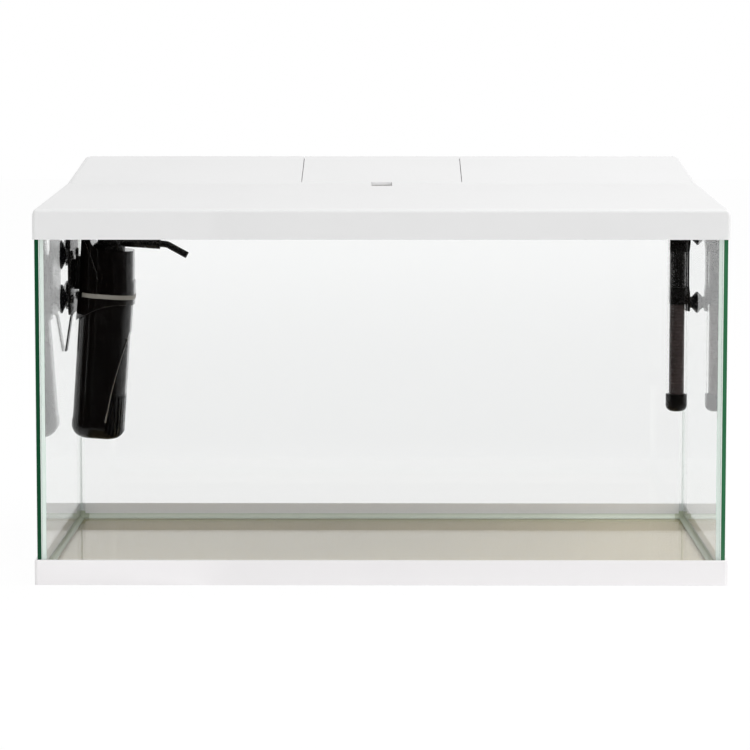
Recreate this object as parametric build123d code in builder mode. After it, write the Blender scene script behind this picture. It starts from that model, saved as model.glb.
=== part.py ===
from build123d import *
from math import atan2, cos, radians, sin, sqrt, tan
import os

os.makedirs("parts", exist_ok=True)

# Glass tank. Millimetres, X to the right, Y to the back, Z up, origin under the middle of the base frame.
glass_width = 600.0
glass_depth = 300.0
glass_height = 300.0
pane = 4.0
pane_arris = 0.4
joint_gap = 0.4
seam_radius = 4.0
seam_setback = 1.0

# Base frame and the mat that the glass stands on
frame_height = 22.0
frame_wall = 2.0
frame_clearance = 0.3
frame_corner = 3.0
frame_rim_radius = 0.8
ledge_width = 16.0
ledge_thickness = 2.5
mat_thickness = 2.0

# Hood
lip_clearance = 0.4
lip_wall = 1.2
lip_overlap = 2.5
skirt_height = 26.0
shoulder_drop = 5.0
side_draft = 18.0
front_rise = 13.6
rear_rise = 22.0
deck_depth = 94.0
deck_step = 1.0
deck_margin = 4.0
hood_wall = 2.5
hood_edge_radius = 3.0
rest_width = 9.0
rest_thickness = 2.5
cable_notch_width = 30.0
cable_notch_height = 9.0
cable_notch_x = 240.0

# Feed flap in the deck
flap_width = 150.0
flap_thickness = 3.0
flap_gap = 0.7
flap_seat = 6.0
barrel_radius = 3.5
barrel_clearance = 0.6
hinge_setback = 4.6
hinge_pin_radius = 1.2
hinge_pin_clearance = 0.06
hinge_pin_boss = 8.0
hinge_pin_reach = 10.0
scoop_width = 19.4
scoop_length = 24.0
scoop_depth = 4.5
scoop_wall = 2.0

# Lamp under the front of the hood
lamp_length = 460.0
lamp_width = 40.0
lamp_height = 12.0
lamp_wall = 1.6
lamp_setback = 59.0
lamp_drop = 17.0
lamp_clip_length = 20.0
lamp_clip_sheet = 2.0
lamp_clip_pitch = 320.0
lamp_ear = 14.0
lamp_boss_radius = 5.0
lamp_screw_radius = 1.5
lamp_screw_head = 2.8
lamp_screw_length = 6.0
lamp_board_thickness = 1.6
lamp_lens_thickness = 2.0
lamp_chip = 3.5
lamp_chip_height = 0.8
lamp_chip_count = 18
lamp_cap_thickness = 3.0
lamp_gland_radius = 3.5
lamp_gland_length = 7.0

# Internal filter: hung on the left pane, leaning with its foot to the glass
filter_lean = 4.0
filter_hang = 199.3
filter_y = 29.0
filter_wall_gap = 30.6
body_width = 48.5
body_depth = 50.0
body_corner = 18.0
canister_height = 130.0
canister_wall = 2.2
canister_floor = 2.5
canister_foot_radius = 12.0
boot_height = 17.0
boot_proud = 0.6
grille_recess = 1.0
grille_edge = 8.0
grille_top = 102.0
grille_bead = 0.8
slot_width = 1.8
slot_count = 17
slot_arc = 144.0
slot_low = 2.0
slot_height = 40.0
plug_clearance = 0.2
plug_depth = 13.0
apron_sheet = 1.3
apron_low = 108.0
apron_high = 126.5
apron_bulge = 0.9
apron_bead = 0.6
ear_width = 4.4
band_height = 4.0
band_proud = 0.4
shelf_height = 177.0
tower_rise = 20.0
tower_taper = 1.4
tower_back = 2.4
tower_side = 16.5
tower_fillet = 10.0
cheek_recess = 0.9
flange_height = 13.0
tower_edge = 2.5
sponge_play = 0.5

# Pump inside the filter head
chamber_radius = 15.0
chamber_height = 8.5
cover_radius = 18.0
cover_thickness = 2.5
cover_eye = 7.0
well_radius = 8.6
well_roof = 2.8
magnet_radius = 8.0
shaft_radius = 1.2
shaft_clearance = 0.06
bush_radius = 3.6
bush_height = 3.0
blade_radius = 13.5
blade_height = 6.0
blade_thickness = 1.6
blade_count = 6
rotor_play = 0.8
duct_radius = 2.6

# Outlet of the filter
turret_radius = 14.0
turret_body = 12.0
turret_flange = 4.0
turret_height = 15.0
turret_wall = 2.0
turret_clearance = 0.4
turret_gap = 0.1
turret_spigot = 6.0
turret_ports = 6
spigot_depth = 2.2
pipe_radius = 5.0
pipe_bore = 2.9
pipe_level = 7.8
pipe_reach = 32.5
spigot_radius = 3.9
spigot_length = 7.0
sleeve_gap = 0.5
sleeve_length = 13.5
nozzle_clearance = 0.08
tip_radius = 3.1
tip_bore = 2.3
tip_root = 5.0
tip_length = 21.5
tip_bend = 24.7
tip_bend_radius = 9.0
gland_radius = 3.0
gland_bore = 1.8
gland_length = 5.0

# Wall bracket of the filter
cup_depth = 7.0
cup_radius = 13.4
cup_neck = 4.6
cup_stud = 2.8
cup_lip = 0.6
cup_head = 1.8
bracket_sheet = 2.5
bracket_width = 60.0
bracket_top_drop = 12.5
bracket_height = 70.0
cup_pitch_y = 42.0
cup_pitch_z = 41.0
cup_row_drop = 47.5
leg_drop = 36.0
leg_width = 12.0
leg_sheet = 1.4
leg_jog = 1.2
leg_toe_gap = 0.6
rail_low = 140.0
rail_high = 165.0
rail_neck = 8.0
rail_flare = 12.0
rail_depth = 3.2
rail_clearance = 0.3
boss_gap = 0.6
boss_width = 21.0
boss_cap = 4.0

# Heater on the right pane
heater_hang = 177.0
heater_y = 46.0
heater_wall_gap = 18.5
tube_radius = 9.2
tube_wall = 1.1
foot_height = 16.4
foot_wall = 0.8
foot_floor = 2.5
foot_radius = 6.0
core_radius = 7.0
core_height = 98.0
thermostat_radius = 7.4
thermostat_height = 70.0
heater_fit = 0.05
clip_sheet = 1.5
clip_clearance = 0.15
clip_low_drop = 75.5
clip_low_height = 16.0
clip_high_drop = 26.5
clip_high_height = 25.0
clip_rib = 0.5
clip_rib_count = 7
clip_mouth = 7.2
spine_width = 11.0
spine_waist = 1.2
spine_reach = 8.0
heater_cup_radius = 10.0
heater_cup_neck = 5.4
heater_cup_low_drop = 74.2
heater_cup_high_drop = 10.4
head_radius = 10.9
head_height = 10.0
head_grip = 6.0
head_edge = 1.5
head_rib_count = 20
head_rib = 0.5
dial_radius = 5.4
dial_height = 6.0
dial_stem_radius = 2.4
dial_stem_length = 3.0
dial_clearance = 0.06
dial_offset = 4.6
dial_grip_count = 10
heater_gland_offset = 6.6
heater_gland_radius = 2.8
heater_gland_length = 5.0

# Heights and half sizes that follow from the sizes above
glass_bottom = ledge_thickness + mat_thickness
floor_top = glass_bottom + pane
glass_top = glass_bottom + glass_height
inner_x = glass_width / 2 - pane
inner_y = glass_depth / 2 - pane
frame_width = glass_width + 2 * (frame_clearance + frame_wall)
frame_depth = glass_depth + 2 * (frame_clearance + frame_wall)
hood_x = glass_width / 2 + lip_clearance + lip_wall
hood_y = glass_depth / 2 + lip_clearance + lip_wall
skirt_bottom = glass_top - lip_overlap
skirt_top = skirt_bottom + skirt_height
shoulder_z = skirt_top - shoulder_drop
crease_y = hood_y - deck_depth
crease_z = skirt_top + front_rise
back_z = crease_z + rear_rise
draft_run = tan(radians(side_draft))
front_angle = atan2(front_rise, crease_y + hood_y)
deck_angle = atan2(rear_rise, deck_depth)


def write(piece, name):
    """Names a finished piece and writes its STEP file."""
    piece.label = name
    export_step(piece, f"parts/{name}.step")


# Base frame: a wall round the glass with a ledge below it, in four rails that butt behind the front corners
with BuildPart() as base_frame:
    with BuildSketch():
        RectangleRounded(frame_width, frame_depth, frame_corner)
    extrude(amount=frame_height)
    with BuildSketch(Plane.XY.offset(ledge_thickness)):
        Rectangle(glass_width + 2 * frame_clearance, glass_depth + 2 * frame_clearance)
    extrude(amount=frame_height, mode=Mode.SUBTRACT)
    with BuildSketch():
        Rectangle(glass_width - 2 * ledge_width, glass_depth - 2 * ledge_width)
    extrude(amount=ledge_thickness, mode=Mode.SUBTRACT)
    rim = base_frame.faces().sort_by(Axis.Z)[-1]
    fillet(rim.outer_wire().edges(), radius=frame_rim_radius)
    for rail_end in (glass_depth / 2 - ledge_width, ledge_width - glass_depth / 2):
        split(bisect_by=Plane.XZ.offset(rail_end), keep=Keep.BOTH)
write(base_frame.part, "base_frame")

with BuildPart() as base_mat:
    with BuildSketch(Plane.XY.offset(ledge_thickness)):
        Rectangle(glass_width, glass_depth)
    extrude(amount=mat_thickness)
write(base_mat.part, "base_mat")

# Glass panes. The side panes run the full depth and show their green edges at the front.
with BuildPart() as bottom_pane:
    with BuildSketch(Plane.XY.offset(glass_bottom)):
        Rectangle(2 * (inner_x - joint_gap), 2 * (inner_y - joint_gap))
    extrude(amount=pane)
    chamfer(bottom_pane.edges(), length=pane_arris)
write(bottom_pane.part, "bottom_pane")

with BuildPart() as front_pane:
    with BuildSketch(Plane.XY.offset(glass_bottom)):
        with Locations((0, -inner_y - pane / 2)):
            Rectangle(2 * (inner_x - joint_gap), pane)
    extrude(amount=glass_height)
    chamfer(front_pane.edges(), length=pane_arris)
write(front_pane.part, "front_pane")

with BuildPart() as back_pane:
    add(mirror(front_pane.part, about=Plane.XZ))
write(back_pane.part, "back_pane")

with BuildPart() as left_pane:
    with BuildSketch(Plane.XY.offset(glass_bottom)):
        with Locations((-inner_x - pane / 2, 0)):
            Rectangle(pane, glass_depth)
    extrude(amount=glass_height)
    chamfer(left_pane.edges(), length=pane_arris)
write(left_pane.part, "left_pane")

with BuildPart() as right_pane:
    add(mirror(left_pane.part, about=Plane.YZ))
write(right_pane.part, "right_pane")

# Water space with rounded corners. What is left between it and the panes is silicone.
with BuildPart() as water_space:
    with BuildSketch(Plane.XY.offset(floor_top)):
        Rectangle(2 * inner_x, 2 * inner_y)
    extrude(amount=glass_height)
    bead_edges = water_space.edges().filter_by(Axis.Z) + water_space.faces().sort_by(Axis.Z)[0].edges()
    fillet(bead_edges, radius=seam_radius)

with BuildPart() as silicone_seams:
    with BuildSketch(Plane.XY.offset(glass_bottom + seam_setback)):
        Rectangle(glass_width - 2 * seam_setback, glass_depth - 2 * seam_setback)
    extrude(amount=glass_height - 2 * seam_setback)
    for glass in (bottom_pane, front_pane, back_pane, left_pane, right_pane, water_space):
        add(glass.part, mode=Mode.SUBTRACT)
write(silicone_seams.part, "silicone_seams")

# Planes on the hood: the front panel, the deck behind the crease and the deck's raised face
crease_point = (0, crease_y, crease_z)
front_plane = Plane(crease_point, x_dir=(1, 0, 0), z_dir=(0, -sin(front_angle), cos(front_angle)))
deck_plane = Plane(crease_point, x_dir=(1, 0, 0), z_dir=(0, -sin(deck_angle), cos(deck_angle)))
deck_top = deck_plane.offset(deck_step)
hinge_run = (deck_depth - hinge_setback) / cos(deck_angle)
hinge_point = deck_top.from_local_coords(Vector(0, hinge_run, -barrel_radius))
hinge_plane = Plane(hinge_point, x_dir=(0, 1, 0), z_dir=(1, 0, 0))


def half_width(level):
    """Half width of the hood at a height above the shoulder."""
    return hood_x - (level - shoulder_z) * draft_run


def front_level(y):
    """Height of the front panel at a distance along Y."""
    return skirt_top + (y + hood_y) * tan(front_angle)


def hood_block(inset):
    """Solid block with the outline of the hood, drawn in by inset on every side but the open bottom."""
    low = skirt_bottom - 2 * inset
    with BuildPart() as block:
        with BuildSketch(Plane.YZ):
            with BuildLine():
                Polyline(
                    (-hood_y, low),
                    (-hood_y, skirt_top),
                    (crease_y, crease_z),
                    (hood_y, back_z),
                    (hood_y, low),
                    close=True,
                )
            make_face()
            if inset:
                offset(amount=-inset, kind=Kind.INTERSECTION, mode=Mode.REPLACE)
        extrude(amount=hood_x, both=True)
        with BuildSketch(Plane.XZ):
            with BuildLine():
                Polyline(
                    (-hood_x, low),
                    (-hood_x, shoulder_z),
                    (-half_width(back_z), back_z),
                    (half_width(back_z), back_z),
                    (hood_x, shoulder_z),
                    (hood_x, low),
                    close=True,
                )
            make_face()
            if inset:
                offset(amount=-inset, kind=Kind.INTERSECTION, mode=Mode.REPLACE)
        extrude(amount=hood_y, both=True, mode=Mode.INTERSECT)
    return block.part


lamp_y = -hood_y + lamp_setback
lamp_top = skirt_top - lamp_drop + lamp_height
lamp_bottom = lamp_top - lamp_height
clip_top = lamp_top + lamp_clip_sheet
ear_y = lamp_width / 2 + lamp_ear / 2
screw_spots = [
    (side * lamp_clip_pitch / 2, lamp_y + reach * ear_y) for side in (-1, 1) for reach in (-1, 1)
]

# Hood shell: rounded block, hollowed, with the rest ledge, hatch frame, lamp bosses and cable notches
with BuildPart() as hood_shell:
    add(hood_block(0))
    outer_edges = hood_shell.edges().filter_by(lambda e: e.center().Z > skirt_bottom + 1)
    crease_edge = outer_edges.filter_by(Axis.X).sort_by(lambda e: abs(e.center().Y - crease_y))[0]
    fillet([e for e in outer_edges if e != crease_edge], radius=hood_edge_radius)
    add(hood_block(hood_wall), mode=Mode.SUBTRACT)
    with BuildSketch(deck_plane.offset(-hood_wall / 2)):
        rear_run = deck_depth / cos(deck_angle) - deck_margin
        near = half_width(crease_z) - deck_margin
        far = half_width(back_z) - deck_margin
        with BuildLine():
            Polyline((-near, 0), (near, 0), (far, rear_run), (-far, rear_run), close=True)
        make_face()
    extrude(amount=hood_wall / 2 + deck_step)
    with BuildSketch(Plane.XY.offset(glass_top)):
        Rectangle(2 * hood_x - hood_wall, 2 * hood_y - hood_wall)
        Rectangle(
            2 * (hood_x - hood_wall - rest_width),
            2 * (hood_y - hood_wall - rest_width),
            mode=Mode.SUBTRACT,
        )
    extrude(amount=rest_thickness)
    with BuildSketch(Plane.XY.offset(skirt_bottom)):
        Rectangle(glass_width + 2 * lip_clearance, glass_depth + 2 * lip_clearance)
    extrude(amount=lip_overlap, mode=Mode.SUBTRACT)
    with BuildSketch(deck_plane.offset(-hood_wall / 2)):
        with Locations((0, (hinge_run - barrel_radius) / 2)):
            Rectangle(flap_width + 2 * (flap_gap + flap_seat), hinge_run - barrel_radius)
    extrude(amount=-flap_thickness - hood_wall / 2)
    with BuildSketch(front_plane.offset(-hood_wall / 2)):
        with Locations((0, (flap_seat - scoop_length - scoop_wall) / 2)):
            Rectangle(scoop_width + 2 * scoop_wall, scoop_length + scoop_wall + flap_seat)
    extrude(amount=-scoop_depth - scoop_wall + hood_wall / 2)
    for x, y in screw_spots:
        with BuildSketch(Plane.XY.offset(clip_top)):
            with Locations((x, y)):
                Circle(lamp_boss_radius)
        extrude(amount=front_level(y - lamp_boss_radius) - hood_wall / 2 - clip_top)
    with BuildSketch(hinge_plane.offset(flap_width / 2 + flap_gap)):
        Circle(barrel_radius - 0.1)
    extrude(amount=hinge_pin_boss)
    with BuildSketch(hinge_plane.offset(-flap_width / 2 - flap_gap)):
        Circle(barrel_radius - 0.1)
    extrude(amount=-hinge_pin_boss)
    with BuildSketch(deck_top):
        with Locations((0, hinge_run / 2)):
            Rectangle(flap_width + 2 * flap_gap, hinge_run)
    extrude(amount=-flap_thickness - 0.1, mode=Mode.SUBTRACT)
    with BuildSketch(deck_top):
        with Locations((0, (flap_seat + hinge_run) / 2)):
            Rectangle(flap_width - 2 * flap_seat, hinge_run - flap_seat)
    extrude(amount=-flap_thickness - 4 * hood_wall, mode=Mode.SUBTRACT)
    hinge_room = barrel_radius + barrel_clearance
    with BuildSketch(deck_top.offset(deck_step)):
        with Locations((0, hinge_run + 4 * hinge_setback - hinge_room)):
            Rectangle(flap_width + 2 * flap_gap, 8 * hinge_setback)
    extrude(amount=-2 * hinge_room - deck_step, mode=Mode.SUBTRACT)
    with BuildSketch(Plane.YZ):
        with BuildLine():
            ramp_start = front_plane.from_local_coords(Vector(0, -scoop_length, 0))
            ramp_mid = front_plane.from_local_coords(Vector(0, -scoop_length * 0.4, -scoop_depth * 0.75))
            ramp_end = front_plane.from_local_coords(Vector(0, 0, -scoop_depth))
            ramp_in = front_plane.from_local_coords(Vector(0, flap_seat + 1, -scoop_depth))
            ramp_up = front_plane.from_local_coords(Vector(0, flap_seat + 1, flap_seat))
            ramp_over = front_plane.from_local_coords(Vector(0, -scoop_length, flap_seat))
            ThreePointArc(
                (ramp_start.Y, ramp_start.Z), (ramp_mid.Y, ramp_mid.Z), (ramp_end.Y, ramp_end.Z)
            )
            Polyline(
                (ramp_end.Y, ramp_end.Z),
                (ramp_in.Y, ramp_in.Z),
                (ramp_up.Y, ramp_up.Z),
                (ramp_over.Y, ramp_over.Z),
                (ramp_start.Y, ramp_start.Z),
            )
        make_face()
    extrude(amount=scoop_width / 2, both=True, mode=Mode.SUBTRACT)
    with BuildSketch(hinge_plane):
        Circle(hinge_pin_radius)
    extrude(amount=flap_width / 2 + flap_gap + hinge_pin_boss, both=True, mode=Mode.SUBTRACT)
    with BuildSketch(Plane.XY.offset(clip_top)):
        with Locations(*screw_spots):
            Circle(lamp_screw_radius)
    extrude(amount=lamp_screw_length - lamp_clip_sheet, mode=Mode.SUBTRACT)
    with BuildSketch(Plane.XY.offset(skirt_bottom)):
        with Locations((-cable_notch_x, hood_y), (cable_notch_x, hood_y)):
            Rectangle(cable_notch_width, 2 * (hood_wall + rest_width + 1))
    extrude(amount=lip_overlap + rest_thickness + cable_notch_height, mode=Mode.SUBTRACT)
write(hood_shell.part, "hood_shell")

# Feed flap: a plate flush with the deck that turns on a barrel at its back edge
with BuildPart() as feed_flap:
    with BuildSketch(deck_top):
        with Locations((0, (flap_gap + hinge_run) / 2)):
            Rectangle(flap_width, hinge_run - flap_gap)
    extrude(amount=-flap_thickness)
    front_lip = feed_flap.edges().filter_by(Axis.X).sort_by(lambda e: e.center().Y - e.center().Z)[0]
    fillet(front_lip, radius=deck_step)
    with BuildSketch(hinge_plane):
        Circle(barrel_radius)
    extrude(amount=flap_width / 2, both=True)
    with BuildSketch(hinge_plane):
        Circle(hinge_pin_radius + hinge_pin_clearance)
    extrude(amount=flap_width, both=True, mode=Mode.SUBTRACT)
write(feed_flap.part, "feed_flap")

with BuildPart() as flap_hinge_pins:
    with BuildSketch(hinge_plane.offset(flap_width / 2 - hinge_pin_reach)):
        Circle(hinge_pin_radius)
    extrude(amount=hinge_pin_reach + flap_gap + hinge_pin_boss)
    mirror(about=Plane.YZ)
write(flap_hinge_pins.part, "flap_hinge_pins")

# Lamp: aluminium channel with board, chips and lens, hung in two clips
with BuildPart() as lamp_housing:
    with BuildSketch(Plane.YZ):
        with Locations((lamp_y, lamp_top - lamp_height / 2)):
            Rectangle(lamp_width, lamp_height)
        with Locations((lamp_y, lamp_top - lamp_wall - lamp_height / 2)):
            Rectangle(lamp_width - 2 * lamp_wall, lamp_height, mode=Mode.SUBTRACT)
    extrude(amount=lamp_length / 2, both=True)
    fillet(lamp_housing.edges().filter_by(Axis.X).group_by(Axis.Z)[-1], radius=lamp_wall)
write(lamp_housing.part, "lamp_housing")

board_bottom = lamp_top - lamp_wall - lamp_board_thickness
with BuildPart() as lamp_board:
    with BuildSketch(Plane.XY.offset(board_bottom)):
        with Locations((0, lamp_y)):
            Rectangle(lamp_length - 4 * lamp_wall, lamp_width - 4 * lamp_wall)
    extrude(amount=lamp_board_thickness)
write(lamp_board.part, "lamp_board")

with BuildPart() as lamp_chips:
    with BuildSketch(Plane.XY.offset(board_bottom)):
        with Locations((0, lamp_y)):
            with GridLocations(lamp_length / (lamp_chip_count + 1), lamp_width / 3, lamp_chip_count, 2):
                Rectangle(lamp_chip, lamp_chip)
    extrude(amount=-lamp_chip_height)
write(lamp_chips.part, "lamp_chips")

with BuildPart() as lamp_lens:
    with BuildSketch(Plane.XY.offset(lamp_bottom)):
        with Locations((0, lamp_y)):
            Rectangle(lamp_length, lamp_width - 2 * lamp_wall)
    extrude(amount=lamp_lens_thickness)
write(lamp_lens.part, "lamp_lens")

with BuildPart() as lamp_end_caps:
    with BuildSketch(Plane.YZ.offset(lamp_length / 2)):
        with Locations((lamp_y, lamp_top - lamp_height / 2)):
            RectangleRounded(lamp_width, lamp_height, lamp_wall)
    extrude(amount=lamp_cap_thickness)
    mirror(about=Plane.YZ)
write(lamp_end_caps.part, "lamp_end_caps")

with BuildPart() as lamp_gland:
    with BuildSketch(Plane.YZ.offset(lamp_length / 2 + lamp_cap_thickness)):
        with Locations((lamp_y, lamp_top - lamp_height / 2)):
            Circle(lamp_gland_radius)
    extrude(amount=lamp_gland_length, taper=8)
    with BuildSketch(Plane.YZ.offset(lamp_length / 2 + lamp_cap_thickness)):
        with Locations((lamp_y, lamp_top - lamp_height / 2)):
            Circle(lamp_gland_radius / 2)
    extrude(amount=lamp_gland_length, mode=Mode.SUBTRACT)
write(lamp_gland.part, "lamp_gland")

with BuildPart() as lamp_clips:
    for side in (-1, 1):
        with BuildSketch(Plane.YZ.offset(side * lamp_clip_pitch / 2)):
            with Locations((lamp_y, lamp_top + lamp_clip_sheet / 2)):
                Rectangle(lamp_width + 2 * lamp_ear, lamp_clip_sheet)
            with Locations((lamp_y, lamp_top - (lamp_height + lamp_clip_sheet) / 2)):
                Rectangle(lamp_width + 2 * lamp_clip_sheet, lamp_height + lamp_clip_sheet)
            with Locations((lamp_y, lamp_top - lamp_height / 2)):
                Rectangle(lamp_width, lamp_height, mode=Mode.SUBTRACT)
            with Locations((lamp_y, lamp_bottom)):
                Rectangle(lamp_width - 4 * lamp_wall, 3 * lamp_clip_sheet, mode=Mode.SUBTRACT)
        extrude(amount=lamp_clip_length / 2, both=True)
    with BuildSketch(Plane.XY.offset(lamp_top)):
        with Locations(*screw_spots):
            Circle(lamp_screw_radius)
    extrude(amount=lamp_clip_sheet, mode=Mode.SUBTRACT)
write(lamp_clips.part, "lamp_clips")

with BuildPart() as lamp_screws:
    with BuildSketch(Plane.XY.offset(lamp_top)):
        with Locations(*screw_spots):
            Circle(lamp_screw_radius)
    extrude(amount=lamp_screw_length)
    with BuildSketch(Plane.XY.offset(lamp_top)):
        with Locations(*screw_spots):
            Circle(lamp_screw_head)
    extrude(amount=-lamp_screw_head * 0.7)
write(lamp_screws.part, "lamp_screws")

# Frame of the filter: its axis leans, with the foot of the canister at zero
lean = radians(filter_lean)
filter_plane = Plane(
    (-inner_x + filter_wall_gap, filter_y, glass_top - filter_hang),
    x_dir=(cos(lean), 0, -sin(lean)),
    z_dir=(sin(lean), 0, cos(lean)),
)
filter_front = Plane(filter_plane.origin, x_dir=filter_plane.x_dir, z_dir=-filter_plane.y_dir)
filter_side = Plane(filter_plane.origin, x_dir=filter_plane.y_dir, z_dir=filter_plane.x_dir)
filter_axis = Axis(filter_plane.origin, filter_plane.z_dir)
band_bottom = canister_height + 2.0
band_top = band_bottom + band_height
tower_height = shelf_height + tower_rise
apron_width = body_width + 2 * (plug_clearance + apron_sheet)
apron_depth = body_depth + 2 * (plug_clearance + apron_sheet)
apron_corner = body_corner + plug_clearance + apron_sheet
ear_end = ear_width - apron_width / 2
plug_width = body_width - 2 * (canister_wall + plug_clearance)
plug_length = body_depth - 2 * (canister_wall + plug_clearance)
plug_corner = body_corner - canister_wall - plug_clearance


def bead(curve, shares, size, width, depth, corner):
    """Round bead, half sunk in the front of a rounded block, below a flat curve drawn in front of it."""
    points = []
    for share in shares:
        spot = curve @ share
        past = max(0.0, abs(spot.X) - (width / 2 - corner))
        front = depth / 2 - corner + sqrt(max(0.0, corner**2 - past**2))
        points.append(filter_plane.from_local_coords(Vector(spot.X, -front, spot.Y)))
    with BuildPart() as strip:
        with BuildLine():
            path = Spline(*points)
        with BuildSketch(Plane(path @ 0, z_dir=path % 0)):
            Circle(size)
        sweep(path=path)
    return strip.part


# Part of the canister's front that the intake grille takes up, to the right of a curved edge
with BuildPart() as grille_zone:
    with BuildSketch(filter_front):
        with BuildLine():
            Polyline(
                (body_width / 2 + 0.2, grille_top),
                (body_width, grille_top),
                (body_width, -grille_edge),
                (grille_edge, -grille_edge),
                (grille_edge, boot_height),
            )
            grille_curve = ThreePointArc(
                (grille_edge, boot_height),
                (grille_edge + 4.8, (boot_height + grille_top) / 2 - 7),
                (body_width / 2 + 0.2, grille_top),
            )
        make_face()
    extrude(amount=body_depth, both=True)

with BuildPart() as grille_skin:
    with BuildSketch(filter_plane):
        Rectangle(2 * body_width, 2 * body_depth)
        RectangleRounded(
            body_width - 2 * grille_recess,
            body_depth - 2 * grille_recess,
            body_corner - grille_recess,
            mode=Mode.SUBTRACT,
        )
    extrude(amount=grille_top)
    add(grille_zone.part, mode=Mode.INTERSECT)

with BuildPart() as grille_slots:
    with BuildSketch(filter_plane.offset(slot_low)):
        with PolarLocations(body_width / 2, slot_count, -slot_arc / 2, slot_arc, endpoint=True):
            Rectangle(body_width / 2, slot_width)
    extrude(amount=slot_height)
    add(grille_zone.part, mode=Mode.INTERSECT)

with BuildPart() as canister_hollow:
    with BuildSketch(filter_plane.offset(canister_floor)):
        RectangleRounded(
            body_width - 2 * canister_wall, body_depth - 2 * canister_wall, body_corner - canister_wall
        )
    extrude(amount=canister_height)
    hollow_floor = canister_hollow.faces().sort_by(filter_axis)[0]
    fillet(hollow_floor.edges(), radius=canister_foot_radius - canister_wall)

# Canister: a cup with a rounded foot, a boot line and the slotted, set-back intake grille
with BuildPart() as filter_canister:
    with BuildSketch(filter_plane):
        RectangleRounded(body_width, body_depth, body_corner)
    extrude(amount=canister_height)
    with BuildSketch(filter_plane):
        RectangleRounded(
            body_width + 2 * boot_proud, body_depth + 2 * boot_proud, body_corner + boot_proud
        )
    extrude(amount=boot_height)
    foot = filter_canister.faces().sort_by(filter_axis)[0]
    fillet(foot.edges(), radius=canister_foot_radius)
    add(grille_skin.part, mode=Mode.SUBTRACT)
    add(canister_hollow.part, mode=Mode.SUBTRACT)
    add(grille_slots.part, mode=Mode.SUBTRACT)
    grille_shares = [0.0, 0.2, 0.4, 0.6, 0.8, 0.92]
    add(bead(grille_curve, grille_shares, grille_bead, body_width, body_depth, body_corner))
write(filter_canister.part, "filter_canister")

with BuildPart() as filter_sponge:
    with BuildSketch(filter_plane.offset(canister_floor)):
        RectangleRounded(
            plug_width - 2 * sponge_play, plug_length - 2 * sponge_play, plug_corner - sponge_play
        )
    extrude(amount=canister_height - canister_floor - plug_depth - sponge_play)
    sponge_floor = filter_sponge.faces().sort_by(filter_axis)[0]
    fillet(sponge_floor.edges(), radius=canister_foot_radius - canister_wall)
write(filter_sponge.part, "filter_sponge")

# Apron: a skirt under the band whose lower edge falls in a curve to the wall side
with BuildPart() as filter_apron:
    with BuildSketch(filter_plane.offset(apron_low - apron_sheet)):
        with Locations((-apron_bulge / 2, 0)):
            RectangleRounded(apron_width + apron_bulge, apron_depth, apron_corner)
        RectangleRounded(
            apron_width - 2 * apron_sheet,
            apron_depth - 2 * apron_sheet,
            apron_corner - apron_sheet,
            mode=Mode.SUBTRACT,
        )
    extrude(amount=band_bottom - apron_low + apron_sheet)
    with BuildSketch(filter_plane.offset(band_bottom - apron_sheet)):
        with Locations((-apron_bulge / 2, 0)):
            RectangleRounded(apron_width + apron_bulge, apron_depth, apron_corner)
        RectangleRounded(
            plug_width + plug_clearance,
            plug_length + plug_clearance,
            plug_corner + plug_clearance / 2,
            mode=Mode.SUBTRACT,
        )
    extrude(amount=apron_sheet)
    with BuildSketch(filter_front):
        apron_fall = apron_high - apron_low
        edge_left = (-apron_width / 2 - apron_bulge - 1, apron_low)
        edge_right = (apron_width / 2 + 1, apron_high)
        with BuildLine():
            apron_curve = Spline(
                edge_left,
                (-0.2 * body_width, apron_low + 0.68 * apron_fall),
                (0.08 * body_width, apron_low + 0.97 * apron_fall),
                edge_right,
            )
            Polyline(
                edge_right,
                (apron_width / 2 + 1, 0),
                (-apron_width / 2 - apron_bulge - 1, 0),
                edge_left,
            )
        make_face()
    extrude(amount=apron_depth, both=True, mode=Mode.SUBTRACT)
    with BuildSketch(filter_plane.offset(band_bottom)):
        with Locations((-apron_bulge / 2, 0)):
            RectangleRounded(apron_width + apron_bulge, apron_depth, apron_corner)
        RectangleRounded(
            plug_width + plug_clearance,
            plug_length + plug_clearance,
            plug_corner + plug_clearance / 2,
            mode=Mode.SUBTRACT,
        )
        with Locations((ear_end, 0)):
            Rectangle(apron_width, apron_depth, align=(Align.MIN, Align.CENTER), mode=Mode.SUBTRACT)
    extrude(amount=band_height)
    apron_shares = [0.16, 0.3, 0.45, 0.6, 0.75, 0.88]
    add(bead(apron_curve, apron_shares, apron_bead, apron_width, apron_depth, apron_corner))
write(filter_apron.part, "filter_apron")

with BuildPart() as filter_band:
    with BuildSketch(filter_plane.offset(band_bottom)):
        RectangleRounded(
            apron_width + 2 * band_proud, apron_depth + 2 * band_proud, apron_corner + band_proud
        )
        RectangleRounded(
            plug_width + plug_clearance,
            plug_length + plug_clearance,
            plug_corner + plug_clearance / 2,
            mode=Mode.SUBTRACT,
        )
        with Locations((ear_end, 0)):
            Rectangle(apron_width, 2 * apron_depth, align=(Align.MAX, Align.CENTER), mode=Mode.SUBTRACT)
    extrude(amount=band_height)
write(filter_band.part, "filter_band")

# Levels in the pump head, along the filter's axis
cover_level = band_bottom + 0.5
chamber_level = cover_level + cover_thickness
well_level = chamber_level + chamber_height
bush_level = shelf_height - spigot_depth - well_roof - bush_height
well_height = bush_level - well_level
plug_level = canister_height - plug_depth
duct_spot = (well_radius + duct_radius + 0.6, 0)
boss_low = rail_low - 2.0
plate_x = -inner_x + cup_depth


def across(x, height):
    """Distance from the filter's axis, along its own X, of a point at x and a height along the axis."""
    return (x - filter_plane.origin.X - height * sin(lean)) / cos(lean)


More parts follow.
